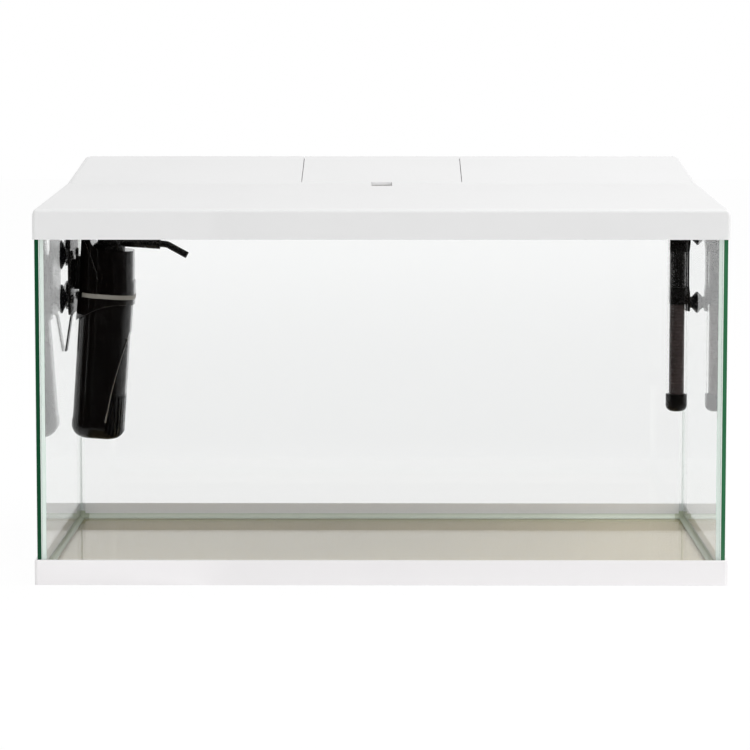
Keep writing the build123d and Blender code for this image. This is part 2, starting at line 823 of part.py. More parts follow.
boss_face = across(plate_x + bracket_sheet, boss_low) + boss_gap
rail_root = (across(plate_x + bracket_sheet, rail_high) + across(plate_x, rail_low)) / 2
rail_face = boss_face + rail_depth


def rail_outline(grow):
    """Corners of the rail's dovetail across the filter's axis, grown for its slot."""
    neck = rail_neck / 2 + grow
    flare = rail_flare / 2 + grow
    return [
        (rail_root - grow, -neck),
        (boss_face, -neck),
        (rail_face + grow, -flare),
        (rail_face + grow, flare),
        (boss_face, neck),
        (rail_root - grow, neck),
    ]


def tower(inset):
    """Block of the pump head, whose top stands back to the wall, drawn in by an inset."""
    narrow = tower_taper + inset
    with BuildPart() as block:
        with BuildSketch(filter_plane.offset(band_top)):
            RectangleRounded(apron_width - 2 * inset, apron_depth - 2 * inset, apron_corner - inset)
        with BuildSketch(filter_plane.offset(tower_height)):
            with Locations((-tower_back, 0)):
                RectangleRounded(apron_width - 2 * narrow, apron_depth - 2 * narrow, apron_corner - narrow)
        loft()
    return block.part


# Skin that comes off the head to the right of a curved cheek line and above its lower flange
with BuildPart() as cheek_skin:
    with BuildSketch(filter_front):
        flange_top = band_top + flange_height
        cheek_high = (-0.475 * apron_width, shelf_height + tower_rise / 2)
        cheek_low = (-0.13 * apron_width, flange_top)
        with BuildLine():
            ThreePointArc(cheek_low, (-0.262 * apron_width, shelf_height - tower_rise / 2), cheek_high)
            Polyline(
                cheek_high,
                (-0.475 * apron_width, tower_height + 5),
                (apron_width, tower_height + 5),
                (apron_width, flange_top),
                cheek_low,
            )
        make_face()
    extrude(amount=apron_depth, both=True)
    add(tower(cheek_recess), mode=Mode.SUBTRACT)

# Pump head: tower, cut away in front for the outlet, with the pump space, plug and rail slot
with BuildPart() as filter_head:
    add(tower(0))
    crown = filter_head.faces().sort_by(filter_axis)[-1]
    fillet(crown.edges(), radius=tower_edge)
    add(cheek_skin.part, mode=Mode.SUBTRACT)
    with BuildSketch(filter_plane.offset(plug_level)):
        RectangleRounded(plug_width, plug_length, plug_corner)
    extrude(amount=band_top - plug_level)
    with BuildSketch(filter_plane.offset(boss_low)):
        boss_root = -apron_width / 2 + 2 * tower_taper
        with Locations(((boss_face + boss_root) / 2, 0)):
            Rectangle(boss_root - boss_face, boss_width)
    extrude(amount=rail_high + boss_cap - boss_low)
    with BuildSketch(filter_front):
        with BuildLine():
            FilletPolyline(
                (-tower_side, tower_height + 5),
                (-tower_side, shelf_height),
                (apron_width, shelf_height),
                radius=tower_fillet,
            )
            Polyline(
                (apron_width, shelf_height),
                (apron_width, tower_height + 5),
                (-tower_side, tower_height + 5),
            )
        make_face()
    extrude(amount=apron_depth, both=True, mode=Mode.SUBTRACT)
    with BuildSketch(filter_plane.offset(shelf_height)):
        Circle(turret_radius + turret_clearance)
    extrude(amount=tower_height, mode=Mode.SUBTRACT)
    with BuildSketch(filter_plane.offset(shelf_height)):
        Circle(turret_spigot + shaft_clearance)
    extrude(amount=-spigot_depth, mode=Mode.SUBTRACT)
    with BuildSketch(filter_plane.offset(plug_level)):
        RectangleRounded(
            plug_width - 2 * canister_wall, plug_length - 2 * canister_wall, plug_corner - canister_wall
        )
    extrude(amount=cover_level - plug_level, mode=Mode.SUBTRACT)
    with BuildSketch(filter_plane.offset(cover_level)):
        Circle(cover_radius)
    extrude(amount=cover_thickness, mode=Mode.SUBTRACT)
    with BuildSketch(filter_plane.offset(chamber_level)):
        Circle(chamber_radius)
    extrude(amount=chamber_height, mode=Mode.SUBTRACT)
    with BuildSketch(filter_plane.offset(well_level)):
        Circle(well_radius)
    extrude(amount=well_height, mode=Mode.SUBTRACT)
    with BuildSketch(filter_plane.offset(bush_level)):
        Circle(bush_radius)
    extrude(amount=bush_height, mode=Mode.SUBTRACT)
    with BuildSketch(filter_plane.offset(well_level)):
        with Locations(duct_spot):
            Circle(duct_radius)
    extrude(amount=shelf_height - well_level, mode=Mode.SUBTRACT)
    with BuildSketch(filter_plane.offset(boss_low - 1)):
        with BuildLine():
            Polyline(*rail_outline(rail_clearance), close=True)
        make_face()
    extrude(amount=rail_high - boss_low + 1, mode=Mode.SUBTRACT)
write(filter_head.part, "filter_head")

with BuildPart() as impeller_cover:
    with BuildSketch(filter_plane.offset(cover_level)):
        Circle(cover_radius)
        Circle(cover_eye, mode=Mode.SUBTRACT)
        Rectangle(2 * cover_eye + 1, cover_thickness)
        Circle(2 * shaft_radius)
        Circle(shaft_radius, mode=Mode.SUBTRACT)
    extrude(amount=cover_thickness)
write(impeller_cover.part, "impeller_cover")

with BuildPart() as impeller_shaft:
    with BuildSketch(filter_plane.offset(cover_level)):
        Circle(shaft_radius)
    extrude(amount=bush_level + bush_height - cover_level)
write(impeller_shaft.part, "impeller_shaft")

with BuildPart() as shaft_bush:
    with BuildSketch(filter_plane.offset(bush_level)):
        Circle(bush_radius)
        Circle(shaft_radius, mode=Mode.SUBTRACT)
    extrude(amount=bush_height)
write(shaft_bush.part, "shaft_bush")

wheel_level = chamber_level + rotor_play
wheel_top = wheel_level + blade_height
magnet_level = well_level + rotor_play
with BuildPart() as impeller_wheel:
    with BuildSketch(filter_plane.offset(wheel_level)):
        Circle(3 * shaft_radius)
        with PolarLocations(blade_radius / 2, blade_count):
            Rectangle(blade_radius, blade_thickness)
    extrude(amount=blade_height)
    with BuildSketch(filter_plane.offset(wheel_top - blade_thickness)):
        Circle(blade_radius)
    extrude(amount=blade_thickness)
    with BuildSketch(filter_plane.offset(wheel_level)):
        Circle(3 * shaft_radius)
    extrude(amount=magnet_level - wheel_level)
    with BuildSketch(filter_plane.offset(wheel_level)):
        Circle(shaft_radius + shaft_clearance)
    extrude(amount=magnet_level - wheel_level, mode=Mode.SUBTRACT)
write(impeller_wheel.part, "impeller_wheel")

with BuildPart() as impeller_magnet:
    with BuildSketch(filter_plane.offset(magnet_level)):
        Circle(magnet_radius)
        Circle(shaft_radius + shaft_clearance, mode=Mode.SUBTRACT)
    extrude(amount=well_height - 2 * rotor_play)
write(impeller_magnet.part, "impeller_magnet")

gland_x = -(tower_side + apron_width / 2 - tower_taper + tower_back - tower_edge) / 2
with BuildPart() as filter_gland:
    with BuildSketch(filter_plane.offset(tower_height)):
        with Locations((gland_x, 0)):
            Circle(gland_radius)
    extrude(amount=gland_length, taper=6)
    with BuildSketch(filter_plane.offset(tower_height)):
        with Locations((gland_x, 0)):
            Circle(gland_bore)
    extrude(amount=gland_length, mode=Mode.SUBTRACT)
write(filter_gland.part, "filter_gland")

# Outlet: a turret that turns on the head, its pipe, and a sleeve with a bent tip that turns on the pipe
turret_level = shelf_height + turret_gap
pipe_height = shelf_height + pipe_level
with BuildPart() as outlet_turret:
    with BuildSketch(filter_front):
        with BuildLine():
            Polyline(
                (0, shelf_height - spigot_depth + turret_gap),
                (turret_spigot, shelf_height - spigot_depth + turret_gap),
                (turret_spigot, turret_level),
                (turret_radius, turret_level),
                (turret_radius, turret_level + turret_flange),
                (turret_body, turret_level + turret_flange + 1),
                (turret_body, shelf_height + turret_height - turret_wall),
                (turret_body - turret_wall, shelf_height + turret_height),
                (0, shelf_height + turret_height),
                close=True,
            )
        make_face()
    revolve(axis=filter_axis)
    with BuildSketch(filter_side):
        with Locations((0, pipe_height)):
            Circle(pipe_radius)
    extrude(amount=pipe_reach)
    with BuildSketch(filter_side.offset(pipe_reach)):
        with Locations((0, pipe_height)):
            Circle(spigot_radius)
    extrude(amount=spigot_length)
    with BuildSketch(filter_front):
        with BuildLine():
            Polyline(
                (0, turret_level + turret_flange),
                (turret_body - turret_wall, turret_level + turret_flange),
                (turret_body - turret_wall, shelf_height + turret_height - 2 * turret_wall),
                (0, shelf_height + turret_height - turret_wall),
                close=True,
            )
        make_face()
    revolve(axis=filter_axis, mode=Mode.SUBTRACT)
    with BuildSketch(filter_plane.offset(turret_level)):
        Circle(turret_radius - turret_wall)
        Circle(turret_spigot, mode=Mode.SUBTRACT)
    extrude(amount=turret_flange / 2, mode=Mode.SUBTRACT)
    with BuildSketch(filter_plane.offset(turret_level)):
        with PolarLocations((turret_spigot + turret_body - turret_wall) / 2, turret_ports):
            Circle((turret_body - turret_wall - turret_spigot) / 3)
    extrude(amount=turret_flange, mode=Mode.SUBTRACT)
    with BuildSketch(filter_side):
        with Locations((0, pipe_height)):
            Circle(pipe_bore)
    extrude(amount=pipe_reach + spigot_length, mode=Mode.SUBTRACT)
write(outlet_turret.part, "outlet_turret")

sleeve_start = pipe_reach + sleeve_gap
sleeve_end = sleeve_start + sleeve_length
with BuildPart() as nozzle_sleeve:
    with BuildSketch(filter_side.offset(sleeve_start)):
        with Locations((0, pipe_height)):
            Circle(pipe_radius)
            Circle(tip_radius, mode=Mode.SUBTRACT)
    extrude(amount=sleeve_length)
    with BuildSketch(filter_side.offset(sleeve_start)):
        with Locations((0, pipe_height)):
            Circle(spigot_radius + nozzle_clearance)
    extrude(amount=spigot_length, mode=Mode.SUBTRACT)
write(nozzle_sleeve.part, "nozzle_sleeve")

with BuildPart() as nozzle_tip:
    bend_at = sleeve_end + 2 * tip_radius
    fall = radians(tip_bend)
    with BuildLine(filter_front):
        tip_path = FilletPolyline(
            (sleeve_end - tip_root, pipe_height),
            (bend_at, pipe_height),
            (bend_at + tip_length * cos(fall), pipe_height - tip_length * sin(fall)),
            radius=tip_bend_radius,
        )
    with BuildSketch(filter_side.offset(sleeve_end - tip_root)):
        with Locations((0, pipe_height)):
            Circle(tip_radius)
            Circle(tip_bore, mode=Mode.SUBTRACT)
    sweep(path=tip_path)
write(nozzle_tip.part, "nozzle_tip")


def suction_cup(radius, neck, sheet, head):
    """Suction cup on the YZ plane with its stud along X, through a sheet and held by a head if it has one."""
    profile = [
        (0, radius),
        (cup_lip, radius),
        (0.7 * cup_depth, neck),
        (cup_depth, neck),
        (cup_depth, cup_stud),
        (cup_depth + sheet, cup_stud),
    ]
    if head:
        profile += [(cup_depth + sheet, cup_stud + 1.2), (cup_depth + sheet + head, cup_stud + 0.4)]
    profile += [
        (cup_depth + sheet + head, 0),
        (0.4 * cup_depth, 0),
        (0.4 * cup_depth, 0.8 * neck),
        (0, radius - 2 * cup_lip),
    ]
    with BuildPart() as cup:
        with BuildSketch(Plane.XY):
            with BuildLine():
                Polyline(*profile, close=True)
            make_face()
        revolve(axis=Axis.X)
    return cup.part


# Wall bracket of the filter: plate on four cups, spacer leg and dovetail rail
cup_spots = [
    (filter_y + side * cup_pitch_y / 2, glass_top - cup_row_drop + row * cup_pitch_z / 2)
    for side in (-1, 1)
    for row in (-1, 1)
]
plate_bottom = glass_top - bracket_top_drop - bracket_height
with BuildPart() as filter_bracket:
    with BuildSketch(Plane.YZ.offset(plate_x)):
        with Locations((filter_y, plate_bottom + bracket_height / 2)):
            RectangleRounded(bracket_width, bracket_height, 2 * bracket_sheet)
    extrude(amount=bracket_sheet)
    with BuildSketch(filter_plane.offset(rail_low)):
        with BuildLine():
            Polyline(*rail_outline(0), close=True)
        make_face()
    extrude(amount=rail_high - rail_low)
    with BuildSketch(Plane.XZ.offset(-filter_y)):
        toe_x = -inner_x + leg_toe_gap
        with BuildLine():
            Polyline(
                (plate_x, plate_bottom + bracket_sheet),
                (plate_x + leg_sheet, plate_bottom + bracket_sheet),
                (plate_x + leg_sheet, plate_bottom - leg_sheet),
                (plate_x + leg_sheet - leg_jog, plate_bottom - 2 * leg_sheet),
                (toe_x + leg_sheet, plate_bottom - leg_drop),
                (toe_x, plate_bottom - leg_drop),
                (plate_x - leg_jog, plate_bottom - 2 * leg_sheet),
                (plate_x, plate_bottom - leg_sheet),
                close=True,
            )
        make_face()
    extrude(amount=leg_width / 2, both=True)
    with BuildSketch(Plane.YZ.offset(plate_x)):
        with Locations(*cup_spots):
            Circle(cup_stud)
    extrude(amount=bracket_sheet, mode=Mode.SUBTRACT)
write(filter_bracket.part, "filter_bracket")

with BuildPart() as filter_suction_cups:
    with Locations(*[(-inner_x, y, z) for y, z in cup_spots]):
        add(suction_cup(cup_radius, cup_neck, bracket_sheet, cup_head))
write(filter_suction_cups.part, "filter_suction_cups")

# Heater: glass tube with core and thermostat, foot cap, and a head that rests on the upper clip
heater_x = inner_x - heater_wall_gap
heater_spot = (heater_x, heater_y)
foot_bottom = glass_top - heater_hang
tube_bottom = foot_bottom + foot_floor
core_bottom = tube_bottom + tube_wall
thermostat_bottom = core_bottom + core_height
stopper_bottom = thermostat_bottom + thermostat_height
clip_low = glass_top - clip_low_drop
clip_high = glass_top - clip_high_drop
head_bottom = clip_high + clip_high_height
head_top = head_bottom + head_height
tube_top = head_bottom + head_grip
tube_inner = tube_radius - tube_wall

with BuildPart() as heater_tube:
    with BuildSketch(Plane.XY.offset(tube_bottom)):
        with Locations(heater_spot):
            Circle(tube_radius)
    extrude(amount=tube_top - tube_bottom)
    with BuildSketch(Plane.XY.offset(core_bottom)):
        with Locations(heater_spot):
            Circle(tube_inner)
    extrude(amount=tube_top - core_bottom, mode=Mode.SUBTRACT)
write(heater_tube.part, "heater_tube")

with BuildPart() as heater_core:
    with BuildSketch(Plane.XY.offset(core_bottom)):
        with Locations(heater_spot):
            Circle(core_radius)
    extrude(amount=core_height)
write(heater_core.part, "heater_core")

with BuildPart() as heater_thermostat:
    with BuildSketch(Plane.XY.offset(thermostat_bottom)):
        with Locations(heater_spot):
            Circle(thermostat_radius)
    extrude(amount=thermostat_height)
write(heater_thermostat.part, "heater_thermostat")

with BuildPart() as heater_stopper:
    with BuildSketch(Plane.XY.offset(stopper_bottom)):
        with Locations(heater_spot):
            Circle(tube_inner - heater_fit)
    extrude(amount=tube_top - stopper_bottom)
write(heater_stopper.part, "heater_stopper")

with BuildPart() as heater_foot:
    with BuildSketch(Plane.XY.offset(foot_bottom)):
        with Locations(heater_spot):
            Circle(tube_radius + foot_wall)
    extrude(amount=foot_height)
    fillet(heater_foot.edges().sort_by(Axis.Z)[0], radius=foot_radius)
    with BuildSketch(Plane.XY.offset(tube_bottom)):
        with Locations(heater_spot):
            Circle(tube_radius + heater_fit)
    extrude(amount=foot_height, mode=Mode.SUBTRACT)
write(heater_foot.part, "heater_foot")

with BuildPart() as heater_head:
    with BuildSketch(Plane.XY.offset(head_bottom)):
        with Locations(heater_spot):
            Circle(head_radius)
    extrude(amount=head_height)
    fillet(heater_head.edges().sort_by(Axis.Z)[-1], radius=head_edge)
    with BuildSketch(Plane.XY.offset(head_bottom)):
        with Locations(heater_spot):
            with PolarLocations(head_radius, head_rib_count):
                Rectangle(2 * head_rib, 2 * head_rib)
    extrude(amount=head_height - 2 * head_edge)
    with BuildSketch(Plane.XY.offset(head_bottom)):
        with Locations(heater_spot):
            Circle(tube_radius + heater_fit)
    extrude(amount=head_grip, mode=Mode.SUBTRACT)
    with BuildSketch(Plane.XY.offset(head_top)):
        with Locations((heater_x, heater_y - dial_offset)):
            Circle(dial_stem_radius + dial_clearance)
    extrude(amount=-dial_stem_length, mode=Mode.SUBTRACT)
write(heater_head.part, "heater_head")

with BuildPart() as heater_dial:
    with BuildSketch(Plane.XY.offset(head_top + dial_clearance)):
        with Locations((heater_x, heater_y - dial_offset)):
            Circle(dial_radius)
            with PolarLocations(dial_radius, dial_grip_count):
                Circle(dial_radius / 8, mode=Mode.SUBTRACT)
    extrude(amount=dial_height)
    with BuildSketch(Plane.XY.offset(head_top + dial_clearance + dial_height)):
        with Locations((heater_x, heater_y - dial_offset - dial_radius / 2)):
            Rectangle(dial_radius / 6, dial_radius)
    extrude(amount=-dial_height / 6, mode=Mode.SUBTRACT)
    with BuildSketch(Plane.XY.offset(head_top + dial_clearance)):
        with Locations((heater_x, heater_y - dial_offset)):
            Circle(dial_stem_radius)
    extrude(amount=-dial_stem_length)
write(heater_dial.part, "heater_dial")

with BuildPart() as heater_gland:
    with BuildSketch(Plane.XY.offset(head_top)):
        with Locations((heater_x, heater_y + heater_gland_offset)):
            Circle(heater_gland_radius)
    extrude(amount=heater_gland_length, taper=5)
    with BuildSketch(Plane.XY.offset(head_top)):
        with Locations((heater_x, heater_y + heater_gland_offset)):
            Circle(heater_gland_radius / 2)
    extrude(amount=heater_gland_length, mode=Mode.SUBTRACT)
write(heater_gland.part, "heater_gland")

# Wall clip of the heater: two open rings on a spine that widens to the suction cups
ring_inner = tube_radius + clip_clearance
spine_in = heater_x + ring_inner
spine_out = inner_x - cup_depth
heater_cups = [glass_top - heater_cup_low_drop, glass_top - heater_cup_high_drop]
with BuildPart() as heater_clip:
    for level, height in ((clip_low, clip_low_height), (clip_high, clip_high_height)):
        with BuildSketch(Plane.XY.offset(level)):
            with Locations(heater_spot):
                Circle(ring_inner + clip_sheet)
                Circle(ring_inner, mode=Mode.SUBTRACT)
            with Locations((heater_x - clip_mouth - tube_radius, heater_y)):
                Rectangle(2 * tube_radius, 4 * tube_radius, mode=Mode.SUBTRACT)
        extrude(amount=height)
    with BuildSketch(Plane.XZ.offset(-heater_y)):
        low, high = heater_cups
        with BuildLine():
            Polyline(
                (spine_in, low - spine_reach),
                (spine_out, low - spine_reach),
                (spine_out, low + spine_reach),
                (spine_in + spine_waist, low + 2 * spine_reach),
                (spine_in + spine_waist, high - 2 * spine_reach),
                (spine_out, high - spine_reach),
                (spine_out, high + spine_reach),
                (spine_in, high + spine_reach),
                close=True,
            )
        make_face()
    extrude(amount=spine_width / 2, both=True)
    with BuildSketch(Plane.XY.offset(clip_high)):
        with Locations(heater_spot):
            with PolarLocations(ring_inner + clip_sheet, clip_rib_count, -130, 80, endpoint=True):
                Rectangle(2 * clip_rib, 2 * clip_rib)
    extrude(amount=clip_high_height)
    with BuildSketch(Plane.YZ.offset(spine_in)):
        with Locations(*[(heater_y, z) for z in heater_cups]):
            Circle(cup_stud)
    extrude(amount=spine_out - spine_in, mode=Mode.SUBTRACT)
write(heater_clip.part, "heater_clip")

with BuildPart() as heater_suction_cups:
    with Locations(*[Location((inner_x, heater_y, z), (0, 0, 180)) for z in heater_cups]):
        add(suction_cup(heater_cup_radius, heater_cup_neck, spine_out - spine_in, 0))
write(heater_suction_cups.part, "heater_suction_cups")
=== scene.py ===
"""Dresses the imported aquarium: its finishes, its foam pieces, the studio and the camera."""

import logging
import math
from collections.abc import Callable
from dataclasses import dataclass, field
from enum import Enum
from typing import Any

import bpy
from mathutils import Matrix, Vector


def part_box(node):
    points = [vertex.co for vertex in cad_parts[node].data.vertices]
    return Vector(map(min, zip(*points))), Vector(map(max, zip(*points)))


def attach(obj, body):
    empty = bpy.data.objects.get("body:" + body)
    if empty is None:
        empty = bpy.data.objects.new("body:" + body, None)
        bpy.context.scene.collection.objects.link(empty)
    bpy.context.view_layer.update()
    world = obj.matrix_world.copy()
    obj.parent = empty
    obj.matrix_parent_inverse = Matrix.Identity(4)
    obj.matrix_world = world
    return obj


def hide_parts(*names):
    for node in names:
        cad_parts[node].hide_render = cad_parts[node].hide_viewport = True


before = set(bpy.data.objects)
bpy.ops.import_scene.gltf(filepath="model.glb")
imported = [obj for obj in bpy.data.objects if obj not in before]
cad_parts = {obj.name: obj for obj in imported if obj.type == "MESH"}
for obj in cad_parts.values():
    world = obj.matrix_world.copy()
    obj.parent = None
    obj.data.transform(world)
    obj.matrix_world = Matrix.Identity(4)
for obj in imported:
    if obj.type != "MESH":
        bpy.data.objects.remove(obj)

log = logging.getLogger("aquarium")
Tree = bpy.types.NodeTree
Socket = bpy.types.NodeSocket
Piece = bpy.types.Object
Edge = tuple[tuple[float, float], ...]
Span = tuple[float, float]

MM = 0.001
SMOOTH_ANGLE = math.radians(40)
SAME_HEIGHT = 1e-7
WHITE = "#FFFFFF"
UNIT: Span = (0.0, 1.0)
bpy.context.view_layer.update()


class Body(Enum):
    """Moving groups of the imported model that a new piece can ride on."""

    TANK = "tank"
    HOOD = "hood"
    FILTER = "filter"
    CANISTER = "canister"
    DIAL = "dial"


class Slot(Enum):
    """Material slots of the record that a new piece can take its finish from."""

    FOAM = "foam"
    SPONGE = "sponge"
    BLACK_PLASTIC = "black_plastic"
    WHITE_PLASTIC = "white_plastic"


class Across(Enum):
    """The axis across a pane. Faces that turn away from it are the pane's cut edges."""

    SIDE = "X"
    FACE = "Y"
    FLOOR = "Z"


def linear(code: str) -> tuple[float, float, float, float]:
    """Turns an sRGB hex colour to linear RGBA.

    Args:
        code: six hex digits, with or without a leading #.

    Returns:
        Red, green, blue and an alpha of 1, as shader sockets take them.
    """
    digits = code.lstrip("#")
    parts = [int(digits[i : i + 2], 16) / 255 for i in (0, 2, 4)]
    red, green, blue = (c / 12.92 if c <= 0.04045 else ((c + 0.055) / 1.055) ** 2.4 for c in parts)
    return (red, green, blue, 1.0)


def per_metre(size_mm: float) -> float:
    """Texture scale at which one feature of a pattern measures size_mm."""
    return 1 / (size_mm * MM)


def add_node(
    tree: Tree, kind: str, inputs: dict[str | int, Any] | None = None, **properties: Any
) -> bpy.types.Node:
    """Adds one shader node.

    Args:
        tree: the node tree that gets it.
        kind: the node's type without the leading ShaderNode.
        inputs: values or output sockets by the input name or number that they feed.
        properties: the node's own settings.

    Returns:
        The new node.
    """
    node = tree.nodes.new("ShaderNode" + kind)
    for name, value in properties.items():
        setattr(node, name, value)
    for key, value in (inputs or {}).items():
        if isinstance(value, Socket):
            tree.links.new(value, node.inputs[key])
        else:
            node.inputs[key].default_value = value
    return node


def calculate(tree: Tree, operation: str, *values: Socket | float) -> Socket:
    """Adds a Math node.

    Args:
        tree: the node tree that gets it.
        operation: the node's operation.
        values: its inputs in order.

    Returns:
        The result's socket.
    """
    return add_node(tree, "Math", dict(enumerate(values)), operation=operation).outputs[0]


def map_range(
    tree: Tree, value: Socket, span: Span, levels: Span, easing: str = "LINEAR"
) -> Socket:
    """Turns a value that runs over one span to a level that runs over another, held at both ends.

    Args:
        tree: the node tree that gets the node.
        value: what is measured.
        span: values at which the change begins and ends.
        levels: levels there.
        easing: how it runs in between.

    Returns:
        The level's socket.
    """
    inputs = {
        "Value": value,
        "From Min": span[0],
        "From Max": span[1],
        "To Min": levels[0],
        "To Max": levels[1],
    }
    return add_node(tree, "MapRange", inputs, interpolation_type=easing).outputs["Result"]


def mix_colours(tree: Tree, factor: Socket, first: Socket | str, second: Socket | str) -> Socket:
    """Goes from one colour to another.

    Args:
        tree: the node tree that gets the node.
        factor: 0 for the first colour, 1 for the second.
        first: a socket or an sRGB hex colour.
        second: the same.

    Returns:
        The colour's socket.
    """
    ends = [linear(end) if isinstance(end, str) else end for end in (first, second)]
    inputs = {"Factor": factor, 6: ends[0], 7: ends[1]}
    return add_node(tree, "Mix", inputs, data_type="RGBA").outputs[2]


def mix_levels(tree: Tree, factor: Socket, first: Socket | float, second: Socket | float) -> Socket:
    """Goes from one level to another, as mix_colours does for colours."""
    return add_node(tree, "Mix", {0: factor, 2: first, 3: second}, data_type="FLOAT").outputs[0]


def mix_shaders(tree: Tree, factor: Socket, first: Socket, second: Socket) -> Socket:
    """Goes from one shader to another, as mix_colours does for colours."""
    return add_node(tree, "MixShader", {0: factor, 1: first, 2: second}).outputs[0]


def separate(tree: Tree, vector: Socket) -> bpy.types.NodeOutputs:
    """Splits a vector. Returns the sockets X, Y and Z."""
    return add_node(tree, "SeparateXYZ", {0: vector}).outputs


def noise(tree: Tree, place: Socket, size_mm: float, detail: float) -> Socket:
    """Adds a noise pattern.

    Args:
        tree: the node tree that gets it.
        place: coordinates, in metres.
        size_mm: size of its features.
        detail: octaves of finer noise in it.

    Returns:
        Its level's socket.
    """
    inputs = {"Vector": place, "Scale": per_metre(size_mm), "Detail": detail}
    return add_node(tree, "TexNoise", inputs).outputs["Fac"]


def bump(tree: Tree, height: Socket, depth_mm: float, strength: float = 1.0) -> Socket:
    """Adds a bump that follows a pattern.

    Args:
        tree: the node tree that gets it.
        height: the pattern's level.
        depth_mm: height of the bump at level 1.
        strength: share of the bump that shows.

    Returns:
        The normal's socket.
    """
    inputs = {"Height": height, "Strength": strength, "Distance": depth_mm * MM}
    return add_node(tree, "Bump", inputs).outputs["Normal"]


@dataclass(frozen=True)
class Finish:
    """A surface finish: a material's name and how its nodes are made."""

    name: str

    def make(self) -> bpy.types.Material:
        """Returns the material, made once and then shared."""
        known = bpy.data.materials.get(self.name)
        if known is not None:
            return known
        material = bpy.data.materials.new(self.name)
        material.use_nodes = True
        tree = material.node_tree
        tree.nodes.clear()
        output = add_node(tree, "OutputMaterial")
        place = add_node(tree, "TexCoord").outputs["Object"]
        tree.links.new(self.surface(tree, place), output.inputs["Surface"])
        inside = self.inside(tree)
        if inside is not None:
            tree.links.new(inside, output.inputs["Volume"])
        return material

    def surface(self, tree: Tree, place: Socket) -> Socket:
        """Makes the surface shader.

        Args:
            tree: the material's node tree.
            place: Object coordinates, in metres.

        Returns:
            The shader's output socket.
        """
        raise NotImplementedError

    def inside(self, tree: Tree) -> Socket | None:
        """Returns the volume shader's output, or None for a finish that has none."""
        return None


@dataclass(frozen=True)
class MouldedPlastic(Finish):
    """Injection moulded plastic: a skin from a spark-eroded tool, with faint flow shading."""

    colour: str = "#F0F0EF"
    shade: str = "#EAEAE9"
    roughness: float = 0.4
    grain_mm: float = 1.5
    grain_depth_mm: float = 0.006
    flow_mm: float = 90.0
    ior: float = 1.5
    grain_span: Span = (0.3, 0.7)
    gloss_spread: float = 0.05

    def surface(self, tree: Tree, place: Socket) -> Socket:
        """Colour drifts along the flow, roughness follows the grain and the grain is a low bump."""
        flow = noise(tree, place, self.flow_mm, detail=2.0)
        grain = noise(tree, place, self.grain_mm, detail=3.0)
        gloss = (self.roughness - self.gloss_spread, self.roughness + self.gloss_spread)
        inputs = {
            "Base Color": mix_colours(tree, flow, self.colour, self.shade),
            "Roughness": map_range(tree, grain, self.grain_span, gloss),
            "IOR": self.ior,
            "Normal": bump(tree, grain, self.grain_depth_mm),
        }
        return add_node(tree, "BsdfPrincipled", inputs).outputs["BSDF"]


@dataclass(frozen=True)
class ClearGlass(Finish):
    """Float or drawn glass: clear and glossy. A pane's open edge shows the green of its iron."""

    ior: float = 1.46
    cast: tuple[float, float, float] = (0.3, 0.8, 0.6)
    density: float = 2.0
    wave_mm: float = 160.0
    wave_depth_mm: float = 0.01
    across: Across | None = None
    edge: str = "#20543A"
    edge_deep: str = "#163F2A"
    sealed: str = "#EEF4F0"
    free_front: float = -149.8 * MM
    free_top: float = 304.3 * MM
    streak_mm: float = 1.6
    streak_stretch: tuple[float, float, float] = (1.0, 0.04, 0.04)
    face_turn: float = 0.75

    def surface(self, tree: Tree, place: Socket) -> Socket:
        """Refracting glass with faint waves from its making. Light from lamps goes straight on."""
        waves = noise(tree, place, self.wave_mm, detail=1.0)
        inputs = {
            "Base Color": linear(WHITE),
            "Roughness": 0.0,
            "IOR": self.ior,
            "Transmission Weight": 1.0,
            "Normal": bump(tree, waves, self.wave_depth_mm),
        }
        glass = add_node(tree, "BsdfPrincipled", inputs)
        if self.across is not None:
            self.cut_edges(tree, place, glass)
        path = add_node(tree, "LightPath").outputs
        passing = calculate(tree, "MAXIMUM", path["Is Shadow Ray"], path["Is Diffuse Ray"])
        through = add_node(tree, "BsdfTransparent").outputs["BSDF"]
        return mix_shaders(tree, passing, glass.outputs["BSDF"], through)

    def cut_edges(self, tree: Tree, place: Socket, glass: bpy.types.Node) -> None:
        """Makes the pane's open edges deep green, with the fine lines that a cutting wheel leaves.

        Args:
            tree: the material's node tree.
            place: Object coordinates, in metres.
            glass: the pane's shader.
        """
        turned = separate(tree, add_node(tree, "TexCoord").outputs["Normal"])
        flat = calculate(tree, "ABSOLUTE", turned[self.across.value])
        face = calculate(tree, "GREATER_THAN", flat, self.face_turn)
        drawn = add_node(tree, "Mapping", {"Vector": place, "Scale": self.streak_stretch})
        streaks = noise(tree, drawn.outputs["Vector"], self.streak_mm, detail=2.0)
        green = mix_colours(tree, streaks, self.edge_deep, self.edge)
        # An edge that sealant or the base covers looks as pale as they do
        spot = separate(tree, place)
        ahead = calculate(tree, "LESS_THAN", spot["Y"], self.free_front)
        above = calculate(tree, "GREATER_THAN", spot["Z"], self.free_top)
        free = calculate(tree, "MAXIMUM", ahead, above)
        edge = mix_colours(tree, free, self.sealed, green)
        tree.links.new(mix_colours(tree, face, edge, WHITE), glass.inputs["Base Color"])
        tree.links.new(face, glass.inputs["Transmission Weight"])

    def inside(self, tree: Tree) -> Socket | None:
        """The iron in the glass takes the red first, so a long way through it looks green."""
        inputs = {"Color": (*self.cast, 1.0), "Density": self.density}
        return add_node(tree, "VolumeAbsorption", inputs).outputs["Volume"]


